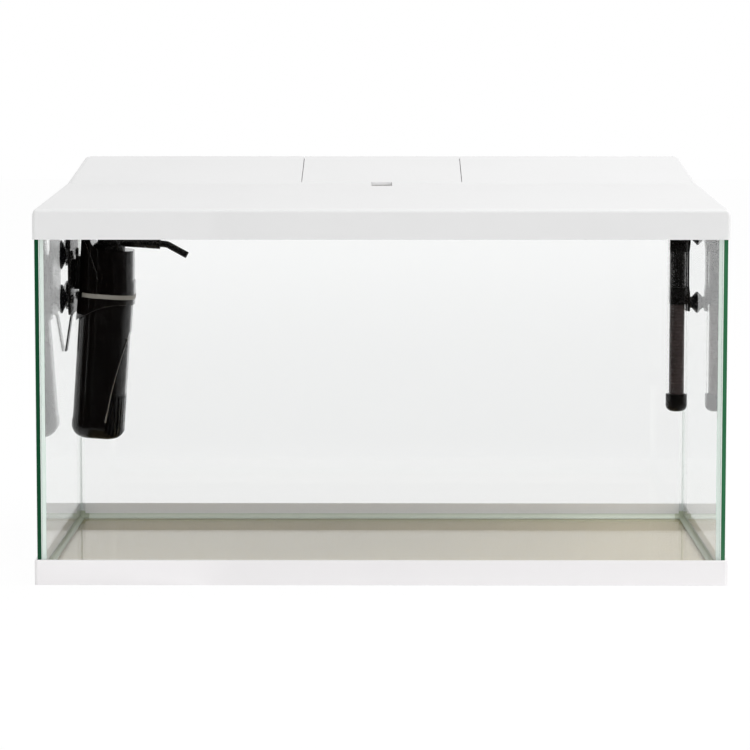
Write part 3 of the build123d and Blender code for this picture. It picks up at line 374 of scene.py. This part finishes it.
@dataclass(frozen=True)
class ClearSilicone(Finish):
    """Clear silicone sealant: milky where it is thick, with the ripples of the tooling finger."""

    colour: str = "#F2FAF5"
    roughness: float = 0.25
    ripple_mm: float = 7.0
    foot_colour: str = "#E3EADE"
    side_shade: str = "#BCC3B0"
    clear: float = 0.94
    clear_milky: float = 0.22
    front: float = -135 * MM
    milky: float = 292.3 * MM
    foot: float = 15 * MM
    side: float = 288 * MM
    ripple_depth_mm: float = 0.12
    ior: float = 1.41

    def surface(self, tree: Tree, place: Socket) -> Socket:
        """A skin on a clear body: thick in front corners and at the foot, with painted shade
        greying the foot at the sides.
        """
        ripple = noise(tree, place, self.ripple_mm, detail=2.0)
        spot = separate(tree, place)
        aside = calculate(tree, "ABSOLUTE", spot["X"])
        ahead = calculate(tree, "LESS_THAN", spot["Y"], self.front)
        near = calculate(tree, "GREATER_THAN", aside, self.milky)
        corner = calculate(tree, "MULTIPLY", ahead, near)
        low = calculate(tree, "LESS_THAN", spot["Z"], self.foot)
        thick = calculate(tree, "MAXIMUM", corner, low)
        clear = map_range(tree, thick, UNIT, (self.clear, self.clear_milky))
        # At the two sides the foot bead turns grey: painted shade
        beyond = calculate(tree, "GREATER_THAN", aside, self.side)
        shaded_side_foot = calculate(tree, "MULTIPLY", beyond, low)
        tint = mix_colours(tree, low, self.colour, self.foot_colour)
        inputs = {
            "Base Color": mix_colours(tree, shaded_side_foot, tint, self.side_shade),
            "Roughness": self.roughness,
            "IOR": self.ior,
            "Normal": bump(tree, ripple, self.ripple_depth_mm),
        }
        skin = add_node(tree, "BsdfPrincipled", inputs).outputs["BSDF"]
        body = add_node(tree, "BsdfTransparent").outputs["BSDF"]
        return mix_shaders(tree, clear, skin, body)


@dataclass(frozen=True)
class OpenFoam(Finish):
    """Open-cell foam: a fine sponge of cells, with painted shade that makes the pores darker than
    the walls.
    """

    wall: str = "#C6B68F"
    pore_shade: str = "#AD9C75"
    cell_mm: float = 2.4
    depth_mm: float = 0.5
    cell_span: Span = (0.0, 0.8)
    cloud_mm: float = 70.0
    strength: float = 0.7
    roughness: float = 0.95
    ior: float = 1.4

    def surface(self, tree: Tree, place: Socket) -> Socket:
        """Cells from a Voronoi pattern set both the bump and the colour, whose darker pores are
        painted shade.
        """
        cells = add_node(tree, "TexVoronoi", {"Vector": place, "Scale": per_metre(self.cell_mm)})
        cloud = noise(tree, place, self.cloud_mm, detail=3.0)
        level = map_range(tree, cells.outputs["Distance"], self.cell_span, UNIT)
        pore_shade_and_mottle = calculate(tree, "MULTIPLY", level, cloud)
        inputs = {
            "Base Color": mix_colours(tree, pore_shade_and_mottle, self.pore_shade, self.wall),
            "Roughness": self.roughness,
            "IOR": self.ior,
            "Normal": bump(tree, level, self.depth_mm, self.strength),
        }
        return add_node(tree, "BsdfPrincipled", inputs).outputs["BSDF"]


@dataclass(frozen=True)
class DrawnMetal(Finish):
    """Drawn or extruded metal: fine lines along the draw direction."""

    colour: str = "#C9CACB"
    roughness: float = 0.32
    line_mm: float = 0.8
    stretch: tuple[float, float, float] = (0.02, 1.0, 1.0)
    line_depth_mm: float = 0.01
    gloss_spread: float = 0.1

    def surface(self, tree: Tree, place: Socket) -> Socket:
        """Noise drawn out along one axis breaks up the gloss."""
        drawn = add_node(tree, "Mapping", {"Vector": place, "Scale": self.stretch})
        lines = noise(tree, drawn.outputs["Vector"], self.line_mm, detail=4.0)
        gloss = (self.roughness - self.gloss_spread, self.roughness + self.gloss_spread)
        inputs = {
            "Base Color": linear(self.colour),
            "Metallic": 1.0,
            "Roughness": map_range(tree, lines, UNIT, gloss),
            "Normal": bump(tree, lines, self.line_depth_mm),
        }
        return add_node(tree, "BsdfPrincipled", inputs).outputs["BSDF"]


@dataclass(frozen=True)
class WoundElement(Finish):
    """Heating wire wound on a ceramic rod: dull turns, darker gaps, blotched by firing."""

    wire: str = "#463230"
    gap: str = "#231918"
    pitch_mm: float = 3.0
    turn_depth_mm: float = 0.2
    blotch_mm: float = 14.0
    roughness: float = 0.55
    wave_units: float = 20.0

    def surface(self, tree: Tree, place: Socket) -> Socket:
        """Bands along the rod are the turns. The pitch is drawn as coarse as it needs to show."""
        scale = per_metre(self.pitch_mm) / self.wave_units * math.tau
        bands = {"wave_type": "BANDS", "bands_direction": "Z"}
        turns = add_node(tree, "TexWave", {"Vector": place, "Scale": scale}, **bands).outputs["Fac"]
        blotch = noise(tree, place, self.blotch_mm, detail=3.0)
        level = calculate(tree, "MULTIPLY", turns, blotch)
        inputs = {
            "Base Color": mix_colours(tree, level, self.gap, self.wire),
            "Roughness": self.roughness,
            "Normal": bump(tree, turns, self.turn_depth_mm),
        }
        return add_node(tree, "BsdfPrincipled", inputs).outputs["BSDF"]


# The grille, apron and cheek bead finishes below are painted highlights: lighter lines that stand
# in for light catching the filter's moulded beads
PAINTED_HIGHLIGHT = {"roughness": 0.3, "grain_mm": 2.0, "flow_mm": 6.0}
HOOD_ABS = MouldedPlastic("moulded_abs_white", "#E9E9E9", "#E5E5E5")
FRAME_ABS = MouldedPlastic("moulded_abs_white_frame", "#F6F4F5", "#F2F0F1")
GLOSS_BLACK = MouldedPlastic(
    "moulded_abs_gloss_black",
    "#030202",
    "#060403",
    roughness=0.11,
    grain_mm=4.0,
    grain_depth_mm=0.002,
    ior=1.42,
)
SATIN_BLACK = MouldedPlastic(
    "moulded_abs_satin_black", "#080706", "#0C0A09", roughness=0.26, ior=1.42
)
GRILLE_HIGHLIGHT = MouldedPlastic("painted_highlight_grille", "#6E6961", "#5E5A53", **PAINTED_HIGHLIGHT)
APRON_HIGHLIGHT = MouldedPlastic("painted_highlight_apron", "#2C2927", "#232120", **PAINTED_HIGHLIGHT)
CHEEK_HIGHLIGHT = MouldedPlastic("painted_highlight_cheek", "#1A1817", "#151312", **PAINTED_HIGHLIGHT)
WARM_GREY = MouldedPlastic("moulded_abs_warm_grey", "#8E8A82", "#86827A", roughness=0.45)
PALE_NYLON = MouldedPlastic("moulded_nylon_natural", "#E4E2DA", "#DCDAD2", roughness=0.5)
LAMP_LENS = MouldedPlastic("opal_polycarbonate", "#F4F5F4", "#EEF0EF", roughness=0.3)
BOARD_WHITE = MouldedPlastic("solder_mask_white", "#E9ECE8", "#DFE3DE", roughness=0.35)
PHOSPHOR = MouldedPlastic("led_phosphor", "#E8D24C", "#E0C63C", roughness=0.5)
BLACK_RUBBER = MouldedPlastic(
    "moulded_rubber_black", "#080706", "#0C0A09", roughness=0.2, grain_mm=1.2, ior=1.34
)
BLACK_PVC = MouldedPlastic("soft_pvc_black", "#080809", "#0C0C0D", roughness=0.25, grain_mm=3.0)
ZIRCONIA = MouldedPlastic("ceramic_zirconia", "#ECE9E2", "#E4E1DA", roughness=0.2, grain_mm=2.0)
FERRITE = MouldedPlastic("bonded_ferrite", "#2B2A2A", "#232222", roughness=0.55, grain_mm=1.0)
WHITE_PAINT = MouldedPlastic("pad_printed_white", "#EDEDEB", "#E2E2E0", roughness=0.5, grain_mm=0.6)
HEATER_CORE = WoundElement("nichrome_on_ceramic")
STEEL = DrawnMetal("stainless_steel_drawn", "#B9BABB")
ALUMINIUM = DrawnMetal("aluminium_anodised", "#C6C8CA", roughness=0.38)
FACE_GLASS = ClearGlass("float_glass_face", across=Across.FACE)
FLOOR_GLASS = ClearGlass("float_glass_floor", ior=1.2, across=Across.FLOOR)
# The left pane's edge greens are darker and the right pane's lighter: painted shade on the left and
# painted light on the right, where the key lamp stands
SHADED_LEFT_GLASS = ClearGlass(
    "float_glass_left", ior=1.4, across=Across.SIDE, edge="#194C31", edge_deep="#113C26"
)
LIT_RIGHT_GLASS = ClearGlass(
    "float_glass_right", ior=1.56, across=Across.SIDE, edge="#3A7550", edge_deep="#2C6242"
)
TUBE_GLASS = ClearGlass("borosilicate_tube", density=1.0, wave_mm=40.0)
SILICONE = ClearSilicone("silicone_clear")
MAT_FOAM = OpenFoam("pe_foam_beige")
FILTER_FOAM = OpenFoam("pu_foam_black", "#2A2A2B", "#121212", cell_mm=1.8)


def dress(finish: Finish, *nodes: str) -> None:
    """Gives CAD nodes a finish.

    Args:
        finish: the finish.
        nodes: names of the CAD nodes that take it.
    """
    material = finish.make()
    for name in nodes:
        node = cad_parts[name]
        if not node.material_slots:
            node.data.materials.append(material)
        for slot in node.material_slots:
            slot.material = material
        log.info("dressed %s in %s", name, finish.name)


def pick_nothing() -> None:
    """Leaves edit mode and clears the selection, because operators act on all that is selected."""
    if bpy.context.mode != "OBJECT":
        bpy.ops.object.mode_set(mode="OBJECT")
    bpy.ops.object.select_all(action="DESELECT")


def pick_edges(obj: Piece, wanted: Callable[[Vector, Vector], bool]) -> None:
    """Selects the edges whose two end points satisfy wanted, and goes into edit mode.

    Args:
        obj: the active mesh object.
        wanted: takes two vectors in the mesh's own frame and says if that edge is picked.
    """
    bpy.ops.object.mode_set(mode="EDIT")
    bpy.ops.mesh.select_mode(type="EDGE")
    bpy.ops.mesh.select_all(action="DESELECT")
    bpy.ops.object.mode_set(mode="OBJECT")
    points = obj.data.vertices
    for edge in obj.data.edges:
        first, second = (points[i].co for i in edge.vertices)
        edge.select = wanted(first, second)
    bpy.ops.object.mode_set(mode="EDIT")


def smooth() -> None:
    """Shades the active object smooth, except at its sharp edges."""
    bpy.ops.object.shade_smooth_by_angle(angle=SMOOTH_ANGLE)


def modify(obj: Piece, kind: str, **settings: Any) -> None:
    """Adds a modifier to the active object and applies it.

    Args:
        obj: the active mesh object.
        kind: the modifier's type.
        settings: the modifier's settings.
    """
    bpy.ops.object.modifier_add(type=kind)
    modifier = obj.modifiers[-1]
    for name, value in settings.items():
        setattr(modifier, name, value)
    bpy.ops.object.modifier_apply(modifier=modifier.name)


def rounded_block(
    name: str, low: Vector, high: Vector, corner: float, rim: float, steps: int = 4
) -> Piece:
    """Models a block with rounded upright corners and softened rims.

    Args:
        name: the object's name.
        low: lowest corner, in metres.
        high: highest corner, in metres.
        corner: radius of the upright corners.
        rim: radius of the top and bottom rims.
        steps: segments in each rounding.

    Returns:
        The object, selected and active, with its place in its mesh.
    """

    def upright(a: Vector, b: Vector) -> bool:
        """Says if the edge from a to b runs up the block."""
        return abs(a.z - b.z) > (high.z - low.z) / 2

    def on_rim(a: Vector, b: Vector) -> bool:
        """Says if the edge from a to b lies on the top or bottom rim."""
        level = abs(a.z - b.z) < SAME_HEIGHT
        return level and min(abs(a.z - low.z), abs(a.z - high.z)) < SAME_HEIGHT

    pick_nothing()
    bpy.ops.mesh.primitive_cube_add(size=1.0, location=(low + high) / 2)
    block = bpy.context.active_object
    block.name = name
    block.scale = high - low
    bpy.ops.object.transform_apply(location=True, rotation=True, scale=True)
    pick_edges(block, upright)
    bpy.ops.mesh.bevel(offset=corner, segments=2 * steps, affect="EDGES")
    pick_edges(block, on_rim)
    bpy.ops.mesh.bevel(offset=rim, segments=steps, affect="EDGES")
    bpy.ops.object.mode_set(mode="OBJECT")
    return block


def keep_piece(
    piece: Piece, body: Body, finish: Finish, stands_for: str = ""
) -> None:
    """Dresses a finished piece and ties it to the body that carries it.

    Args:
        piece: the finished mesh object, at the origin.
        body: the body that it moves with.
        finish: its surface finish.
        stands_for: the CAD node that it replaces, where it replaces one.
    """
    piece.data.materials.clear()
    piece.data.materials.append(finish.make())
    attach(piece, body.value)
    if stands_for:
        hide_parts(stands_for)
    log.info("%s rides on %s", piece.name, body.value)


@dataclass
class Tank:
    """Glass box on its base frame, with the foam mat between them."""

    mat_gap: float = 0.05 * MM
    mat_rim: float = 0.5 * MM
    mat_corner: float = 1.5 * MM

    def build(self) -> None:
        """Makes the foam mat that the glass stands on."""
        low, high = (Vector(c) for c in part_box("base_mat"))
        gap = Vector((self.mat_gap,) * 3)
        mat = rounded_block("foam_mat", low + gap, high - gap, self.mat_corner, self.mat_rim)
        smooth()
        keep_piece(mat, Body.TANK, MAT_FOAM, "base_mat")

    def dress(self) -> None:
        """Gives the frame, the panes and the seams their finishes."""
        dress(FRAME_ABS, "base_frame")
        dress(FACE_GLASS, "front_pane", "back_pane")
        dress(FLOOR_GLASS, "bottom_pane")
        dress(SHADED_LEFT_GLASS, "left_pane")
        dress(LIT_RIGHT_GLASS, "right_pane")
        dress(SILICONE, "silicone_seams")


@dataclass
class Hood:
    """Moulded lid with its feed flap and the lamp under it."""

    crease: Vector = field(default_factory=lambda: Vector((0.0, 57.6, 341.6)) * MM)
    panel_slope: float = math.atan2(13.6, 209.2)
    deck_slope: float = math.atan2(22.0, 94.0)
    deck_step: float = 1.0 * MM
    blend_reach: float = 12.0 * MM
    blend_lap: float = 0.6 * MM
    blend_inner: float = 9.95 * MM
    blend_outer: float = 291.4 * MM
    blend_steps: int = 8
    blend_skin: float = 0.3 * MM
    blend_sunk: float = 0.04 * MM
    blend_proud: float = 0.03 * MM

    def blend_curve(self) -> tuple[Vector, Vector, Vector]:
        """Works out where the blend leaves the front panel, turns, and meets the deck.

        Returns:
            The start, the turning point and the end of its curve, seen from the side.
        """
        panel = Vector((0.0, math.cos(self.panel_slope), math.sin(self.panel_slope)))
        deck = Vector((0.0, math.cos(self.deck_slope), math.sin(self.deck_slope)))
        rise = Vector((0.0, -deck.z, deck.y))
        brink = self.crease + rise * self.deck_step
        # The deck's face, drawn on forwards, meets the panel at the turning point
        run = self.deck_step / math.sin(self.deck_slope - self.panel_slope)
        start = self.crease - panel * self.blend_reach
        start.z -= self.blend_sunk
        end = brink + deck * self.blend_lap
        end.z += self.blend_proud
        return start, self.crease - panel * run, end

    def blend(self, name: str, left: float, right: float) -> Piece:
        """Models the shallow moulded blend that runs the panel up to the deck's raised face.

        Args:
            name: the blend's name.
            left: its left end.
            right: its right end.

        Returns:
            The blend, in its place.
        """
        start, turn, end = self.blend_curve()
        pick_nothing()
        bpy.ops.mesh.primitive_grid_add(x_subdivisions=2, y_subdivisions=self.blend_steps, size=1.0)
        blend = bpy.context.active_object
        blend.name = name
        for vertex in blend.data.vertices:
            shaded_side_foot, up = vertex.co.x + 0.5, vertex.co.y + 0.5
            spot = start.lerp(turn, up).lerp(turn.lerp(end, up), up)
            vertex.co = (left + (right - left) * shaded_side_foot, spot.y, spot.z)
        modify(blend, "SOLIDIFY", thickness=self.blend_skin, offset=-1.0)
        smooth()
        return blend

    def build(self) -> None:
        """Makes the blend on each side of the finger notch."""
        for name, left, right in (
            ("deck_blend_left", -self.blend_outer, -self.blend_inner),
            ("deck_blend_right", self.blend_inner, self.blend_outer),
        ):
            keep_piece(self.blend(name, left, right), Body.HOOD, HOOD_ABS)

    def dress(self) -> None:
        """Gives the shell, the flap and the lamp their finishes."""
        dress(HOOD_ABS, "hood_shell", "feed_flap")
        dress(STEEL, "flap_hinge_pins", "lamp_screws")
        dress(ALUMINIUM, "lamp_housing")
        dress(BOARD_WHITE, "lamp_board")
        dress(PHOSPHOR, "lamp_chips")
        dress(LAMP_LENS, "lamp_lens")
        dress(WARM_GREY, "lamp_end_caps")
        dress(PALE_NYLON, "lamp_clips")
        dress(BLACK_RUBBER, "lamp_gland")


@dataclass
class InternalFilter:
    """Canister filter on its wall bracket, leaning with its foot to the glass. Edges are in mm."""

    lean: float = math.radians(4.0)
    origin: Vector = field(default_factory=lambda: Vector((-265.4, 29.0, 105.2)) * MM)
    body_width: float = 48.5
    body_depth: float = 50.0
    body_corner: float = 18.0
    apron_grow: float = 1.5
    cheek_grow: float = 1.25
    grille_edge: Edge = (
        (8.0, 17.0),
        (9.97, 34.23),
        (12.6, 51.37),
        (15.9, 68.4),
        (19.85, 85.28),
        (22.53, 95.33),
    )
    apron_edge: Edge = (
        (-20.21, 113.99),
        (-13.24, 118.6),
        (-5.29, 122.71),
        (3.13, 125.74),
        (11.92, 127.41),
        (19.67, 127.54),
    )
    cheek_edge: Edge = (
        (-6.69, 149.0),
        (-9.38, 156.98),
        (-12.51, 164.79),
        (-16.08, 172.41),
        (-20.06, 179.82),
        (-24.46, 187.0),
    )
    grille_bead: float = 0.9
    apron_bead: float = 0.68
    cheek_bead: float = 0.55
    bead_order: int = 3
    bead_steps: int = 8
    bead_round: int = 3
    head_foot: float = 136.0
    head_top: float = 197.0
    head_taper: float = 1.4
    head_back: float = 2.4
    foam_half: Vector = field(default_factory=lambda: Vector((21.2, 22.0, 0.0)) * MM)
    foam_low: float = 2.8 * MM
    foam_high: float = 116.2 * MM
    foam_corner: float = 15.0 * MM
    foam_rim: float = 9.5 * MM
    foam_voxel: float = 1.8 * MM
    foam_cell: float = 3.2 * MM
    foam_pit: float = 0.5 * MM

    def placed(self, piece: Piece) -> Piece:
        """Leans a piece that was modelled upright on the filter's axis and puts it in the tank.

        Args:
            piece: the piece, at the origin, selected and active.

        Returns:
            The piece.
        """
        piece.matrix_world = Matrix.Translation(self.origin) @ Matrix.Rotation(self.lean, 4, "Y")
        bpy.ops.object.transform_apply(location=True, rotation=True, scale=True)
        smooth()
        return piece

    def on_skin(self, across: float, up: float, grow: float) -> Vector:
        """Finds a point of the filter's rounded front, which draws in a little up the head.

        Args:
            across: distance to the right of the filter's axis, in mm.
            up: distance up the axis, in mm.
            grow: how far the skin stands out from the canister's, in mm.

        Returns:
            The point, in metres, before the filter is leaned.
        """
        climb = max(0.0, (up - self.head_foot) / (self.head_top - self.head_foot))
        corner = self.body_corner + grow - self.head_taper * climb
        flat = self.body_width / 2 - self.body_corner
        past = max(0.0, abs(across + self.head_back * climb) - flat)
        front = self.body_depth / 2 - self.body_corner + math.sqrt(corner**2 - past**2)
        return Vector((across, -front, up)) * MM

    def bead(self, name: str, edge: Edge, radius: float, grow: float) -> Piece:
        """Models a bead along a moulded edge on the filter's front. Its lighter colour is a painted
        highlight.

        Args:
            name: the bead's name.
            edge: points of the edge seen from the front, in mm across and up the filter's axis.
            radius: radius of the bead, in mm.
            grow: how far the skin stands out from the canister's, in mm.

        Returns:
            The bead as a mesh, in its place.
        """
        pick_nothing()
        bpy.ops.curve.primitive_nurbs_path_add(location=(0, 0, 0))
        bead = bpy.context.active_object
        bead.name = name
        curve = bead.data
        curve.splines.clear()
        line = curve.splines.new("NURBS")
        line.points.add(len(edge) - 1)
        for point, (across, up) in zip(line.points, edge):
            point.co = (*self.on_skin(across, up, grow), 1.0)
        line.order_u = self.bead_order
        line.use_endpoint_u = True
        line.resolution_u = self.bead_steps
        curve.bevel_depth = radius * MM
        curve.bevel_resolution = self.bead_round
        curve.use_fill_caps = True
        bpy.ops.object.convert(target="MESH")
        return self.placed(bead)

    def foam(self) -> Piece:
        """Models the open-pored foam block that fills the canister."""
        half = self.foam_half
        low = Vector((-half.x, -half.y, self.foam_low))
        high = Vector((half.x, half.y, self.foam_high))
        foam = rounded_block("filter_foam", low, high, self.foam_corner, self.foam_rim)
        modify(foam, "REMESH", mode="VOXEL", voxel_size=self.foam_voxel)
        cells = bpy.data.textures.new("foam_cells", "VORONOI")
        cells.noise_scale = self.foam_cell
        modify(foam, "DISPLACE", texture=cells, strength=-self.foam_pit, mid_level=0.0)
        bpy.data.textures.remove(cells)
        return self.placed(foam)

    def build(self) -> None:
        """Makes the foam block and the beads on the filter's front, whose colours are painted
        highlights.
        """
        foam = self.foam()
        keep_piece(foam, Body.CANISTER, FILTER_FOAM, "filter_sponge")
        grille = self.bead("grille_bead", self.grille_edge, self.grille_bead, grow=0.0)
        keep_piece(grille, Body.CANISTER, GRILLE_HIGHLIGHT)
        apron = self.bead("apron_bead", self.apron_edge, self.apron_bead, self.apron_grow)
        keep_piece(apron, Body.FILTER, APRON_HIGHLIGHT)
        cheek = self.bead("cheek_bead", self.cheek_edge, self.cheek_bead, self.cheek_grow)
        keep_piece(cheek, Body.FILTER, CHEEK_HIGHLIGHT)

    def dress(self) -> None:
        """Gives the canister, head, outlet and bracket their finishes."""
        dress(GLOSS_BLACK, "filter_canister", "filter_head", "filter_apron")
        dress(WARM_GREY, "filter_band")
        dress(SATIN_BLACK, "outlet_turret", "nozzle_sleeve", "nozzle_tip", "filter_bracket")
        dress(BLACK_PVC, "filter_suction_cups")
        dress(BLACK_RUBBER, "filter_gland")
        dress(PALE_NYLON, "impeller_wheel", "impeller_cover")
        dress(ZIRCONIA, "impeller_shaft", "shaft_bush")
        dress(FERRITE, "impeller_magnet")


@dataclass
class Heater:
    """Glass tube heater in its wall clip."""

    pointer_half: float = 0.4 * MM
    pointer_depth: float = 0.8 * MM
    pointer_inset: float = 0.35 * MM
    pointer_sunk: float = 0.05 * MM
    pointer_corner: float = 0.3 * MM
    pointer_rim: float = 0.15 * MM

    def build(self) -> None:
        """Fills the groove on the dial with paint, which points at the set temperature."""
        low, high = (Vector(c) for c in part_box("heater_dial"))
        middle = (low + high) / 2
        half, inset = self.pointer_half, self.pointer_inset
        paint = rounded_block(
            "dial_pointer",
            Vector((middle.x - half, low.y + inset, high.z - self.pointer_depth)),
            Vector((middle.x + half, middle.y - inset, high.z - self.pointer_sunk)),
            self.pointer_corner,
            self.pointer_rim,
        )
        smooth()
        keep_piece(paint, Body.DIAL, WHITE_PAINT)

    def dress(self) -> None:
        """Gives the tube, its inside, the caps and the clip their finishes."""
        dress(TUBE_GLASS, "heater_tube")
        dress(HEATER_CORE, "heater_core")
        dress(SATIN_BLACK, "heater_thermostat", "heater_head", "heater_clip")
        dress(WARM_GREY, "heater_dial")
        dress(BLACK_RUBBER, "heater_foot", "heater_stopper", "heater_gland")
        dress(BLACK_PVC, "heater_suction_cups")


@dataclass(frozen=True)
class SoftLamp:
    """A lamp with a flat oblong face. Places and sizes are in metres, its power is in watts."""

    name: str
    spot: tuple[float, float, float]
    aim: tuple[float, float, float]
    width: float
    height: float
    power: float
    on_matt: bool = True
    in_gloss: bool = True
    through_glass: bool = True

    def build(self) -> None:
        """Puts the lamp up, facing its aim."""
        data = bpy.data.lights.new(self.name, "AREA")
        data.shape = "RECTANGLE"
        data.size = self.width
        data.size_y = self.height
        data.energy = self.power
        lamp = bpy.data.objects.new(self.name, data)
        bpy.context.scene.collection.objects.link(lamp)
        lamp.location = self.spot
        way = Vector(self.aim) - Vector(self.spot)
        lamp.rotation_euler = way.to_track_quat("-Z", "Y").to_euler()
        lamp.visible_diffuse = self.on_matt
        lamp.visible_glossy = self.in_gloss
        lamp.visible_transmission = self.through_glass


# A soft key from the upper right, a low front fill that gloss doesn't show, and a strip that only
# gloss shows
LAMPS = (
    SoftLamp("key", (1.7, -0.5, 2.5), (0.0, 0.0, 0.2), width=1.6, height=1.6, power=41.0),
    SoftLamp(
        "fill",
        (0.0, -2.7, 0.42),
        (0.0, 0.1, 0.15),
        width=1.2,
        height=0.35,
        power=13.0,
        in_gloss=False,
        through_glass=False,
    ),
    SoftLamp(
        "strip",
        (-1.5, -1.1, 0.07),
        (-0.26, 0.0, 0.1),
        width=0.1,
        height=0.14,
        power=0.08,
        on_matt=False,
    ),
)


@dataclass
class Studio:
    """Plain pale floor, white surround, soft lamps and the camera."""

    camera_spot: Vector = field(default_factory=lambda: Vector((6.5926, -2418.23, 452.785)) * MM)
    pitch: float = 0.0836
    yaw: float = -0.0052
    focal_px: float = 2632.43
    image_px: float = 750.0
    sensor: float = 36.0
    shift_up: float = -0.12
    clip_end: float = 60.0
    floor_half: float = 8.0
    floor_drop: float = 0.2 * MM
    floor_run: Span = (0.0, 4.6)
    floor_room: Span = (-0.5, 0.1)
    room: Span = (-0.6, 0.1)
    fill_level: float = 0.62
    dark_level: float = 0.003
    floor_white: float = 1.02
    paper: str = "#E8E8E8"
    paper_share: float = 0.06
    near_level: float = 0.985
    far_level: float = 1.11

    def bounces(self, tree: Tree) -> dict[str, Socket]:
        """Tells how light came to the surround or the floor.

        Args:
            tree: the node tree that asks.

        Returns:
            Sockets by name: 1 for light that was spread, mirrored or let through, else 0.
        """
        path = add_node(tree, "LightPath").outputs
        kinds = {
            "spread": "Diffuse Depth",
            "mirrored": "Glossy Depth",
            "let_through": "Transmission Depth",
        }
        return {name: calculate(tree, "MINIMUM", path[kind], 1.0) for name, kind in kinds.items()}

    def surround(self) -> None:
        """White to the eye, through glass too. In gloss, white with a dark room in front."""
        world = bpy.data.worlds.new("surround")
        bpy.context.scene.world = world
        world.use_nodes = True
        tree = world.node_tree
        tree.nodes.clear()
        light = self.bounces(tree)
        forward = separate(tree, add_node(tree, "TexCoord").outputs["Generated"])["Y"]
        room = map_range(tree, forward, self.room, (self.dark_level, 1.0), "SMOOTHSTEP")
        seen = mix_levels(tree, light["mirrored"], 1.0, room)
        level = mix_levels(tree, light["spread"], seen, self.fill_level)
        white = add_node(tree, "Background", {"Color": linear(WHITE), "Strength": level})
        add_node(tree, "OutputWorld", {"Surface": white.outputs[0]})

    def floor(self) -> None:
        """A wide paper floor, white to the eye, with a faint shadow. Through the glass it dims near
        the tank: a painted shadow.
        """
        pick_nothing()
        spot = (0.0, 0.0, -self.floor_drop)
        bpy.ops.mesh.primitive_plane_add(size=2 * self.floor_half, location=spot)
        floor = bpy.context.active_object
        floor.name = "studio_floor"
        material = bpy.data.materials.new("studio_floor_paper")
        material.use_nodes = True
        tree = material.node_tree
        tree.nodes.clear()
        light = self.bounces(tree)
        back = separate(tree, add_node(tree, "TexCoord").outputs["Object"])["Y"]
        # Seen through the glass, the floor runs from dim near the tank to brighter than white far
        # off: a painted shadow behind the tank
        levels = (self.near_level, self.far_level)
        painted_shading = map_range(tree, back, self.floor_run, levels, "SMOOTHSTEP")
        room = map_range(tree, back, self.floor_room, (self.dark_level, 1.0), "SMOOTHSTEP")
        seen = mix_levels(tree, light["let_through"], self.floor_white, painted_shading)
        level = mix_levels(tree, light["mirrored"], seen, room)
        paper = add_node(tree, "BsdfDiffuse", {"Color": linear(self.paper)}).outputs[0]
        white = add_node(tree, "Emission", {"Color": linear(WHITE), "Strength": level}).outputs[0]
        # Gloss sees none of the paper, so that no shadow is mirrored
        most = self.paper_share
        share = calculate(tree, "MULTIPLY_ADD", light["mirrored"], -most, most)
        shown = mix_shaders(tree, share, white, paper)
        mixed = mix_shaders(tree, light["spread"], shown, paper)
        add_node(tree, "OutputMaterial", {"Surface": mixed})
        floor.data.materials.append(material)

    def camera(self) -> None:
        """Sets the camera at the photograph's place, turn and angle."""
        data = bpy.data.cameras.new("camera")
        data.sensor_width = self.sensor
        data.lens = self.focal_px / self.image_px * self.sensor
        data.shift_y = self.shift_up
        data.clip_end = self.clip_end
        camera = bpy.data.objects.new("camera", data)
        bpy.context.scene.collection.objects.link(camera)
        camera.location = self.camera_spot
        camera.rotation_euler = (math.pi / 2 - self.pitch, 0.0, -self.yaw)
        bpy.context.scene.camera = camera

    def build(self) -> None:
        """Puts up the whole studio."""
        self.surround()
        self.floor()
        for lamp in LAMPS:
            lamp.build()
        self.camera()
        bpy.context.scene.view_settings.view_transform = "Standard"
        log.info("studio is up")


def main() -> None:
    """Builds and dresses each sub-assembly in order, then the studio."""
    logging.basicConfig(level=logging.INFO, format="%(name)s: %(message)s")
    for assembly in (Tank(), Hood(), InternalFilter(), Heater()):
        assembly.build()
        assembly.dress()
    Studio().build()
    pick_nothing()


if __name__ == "__main__":
    main()
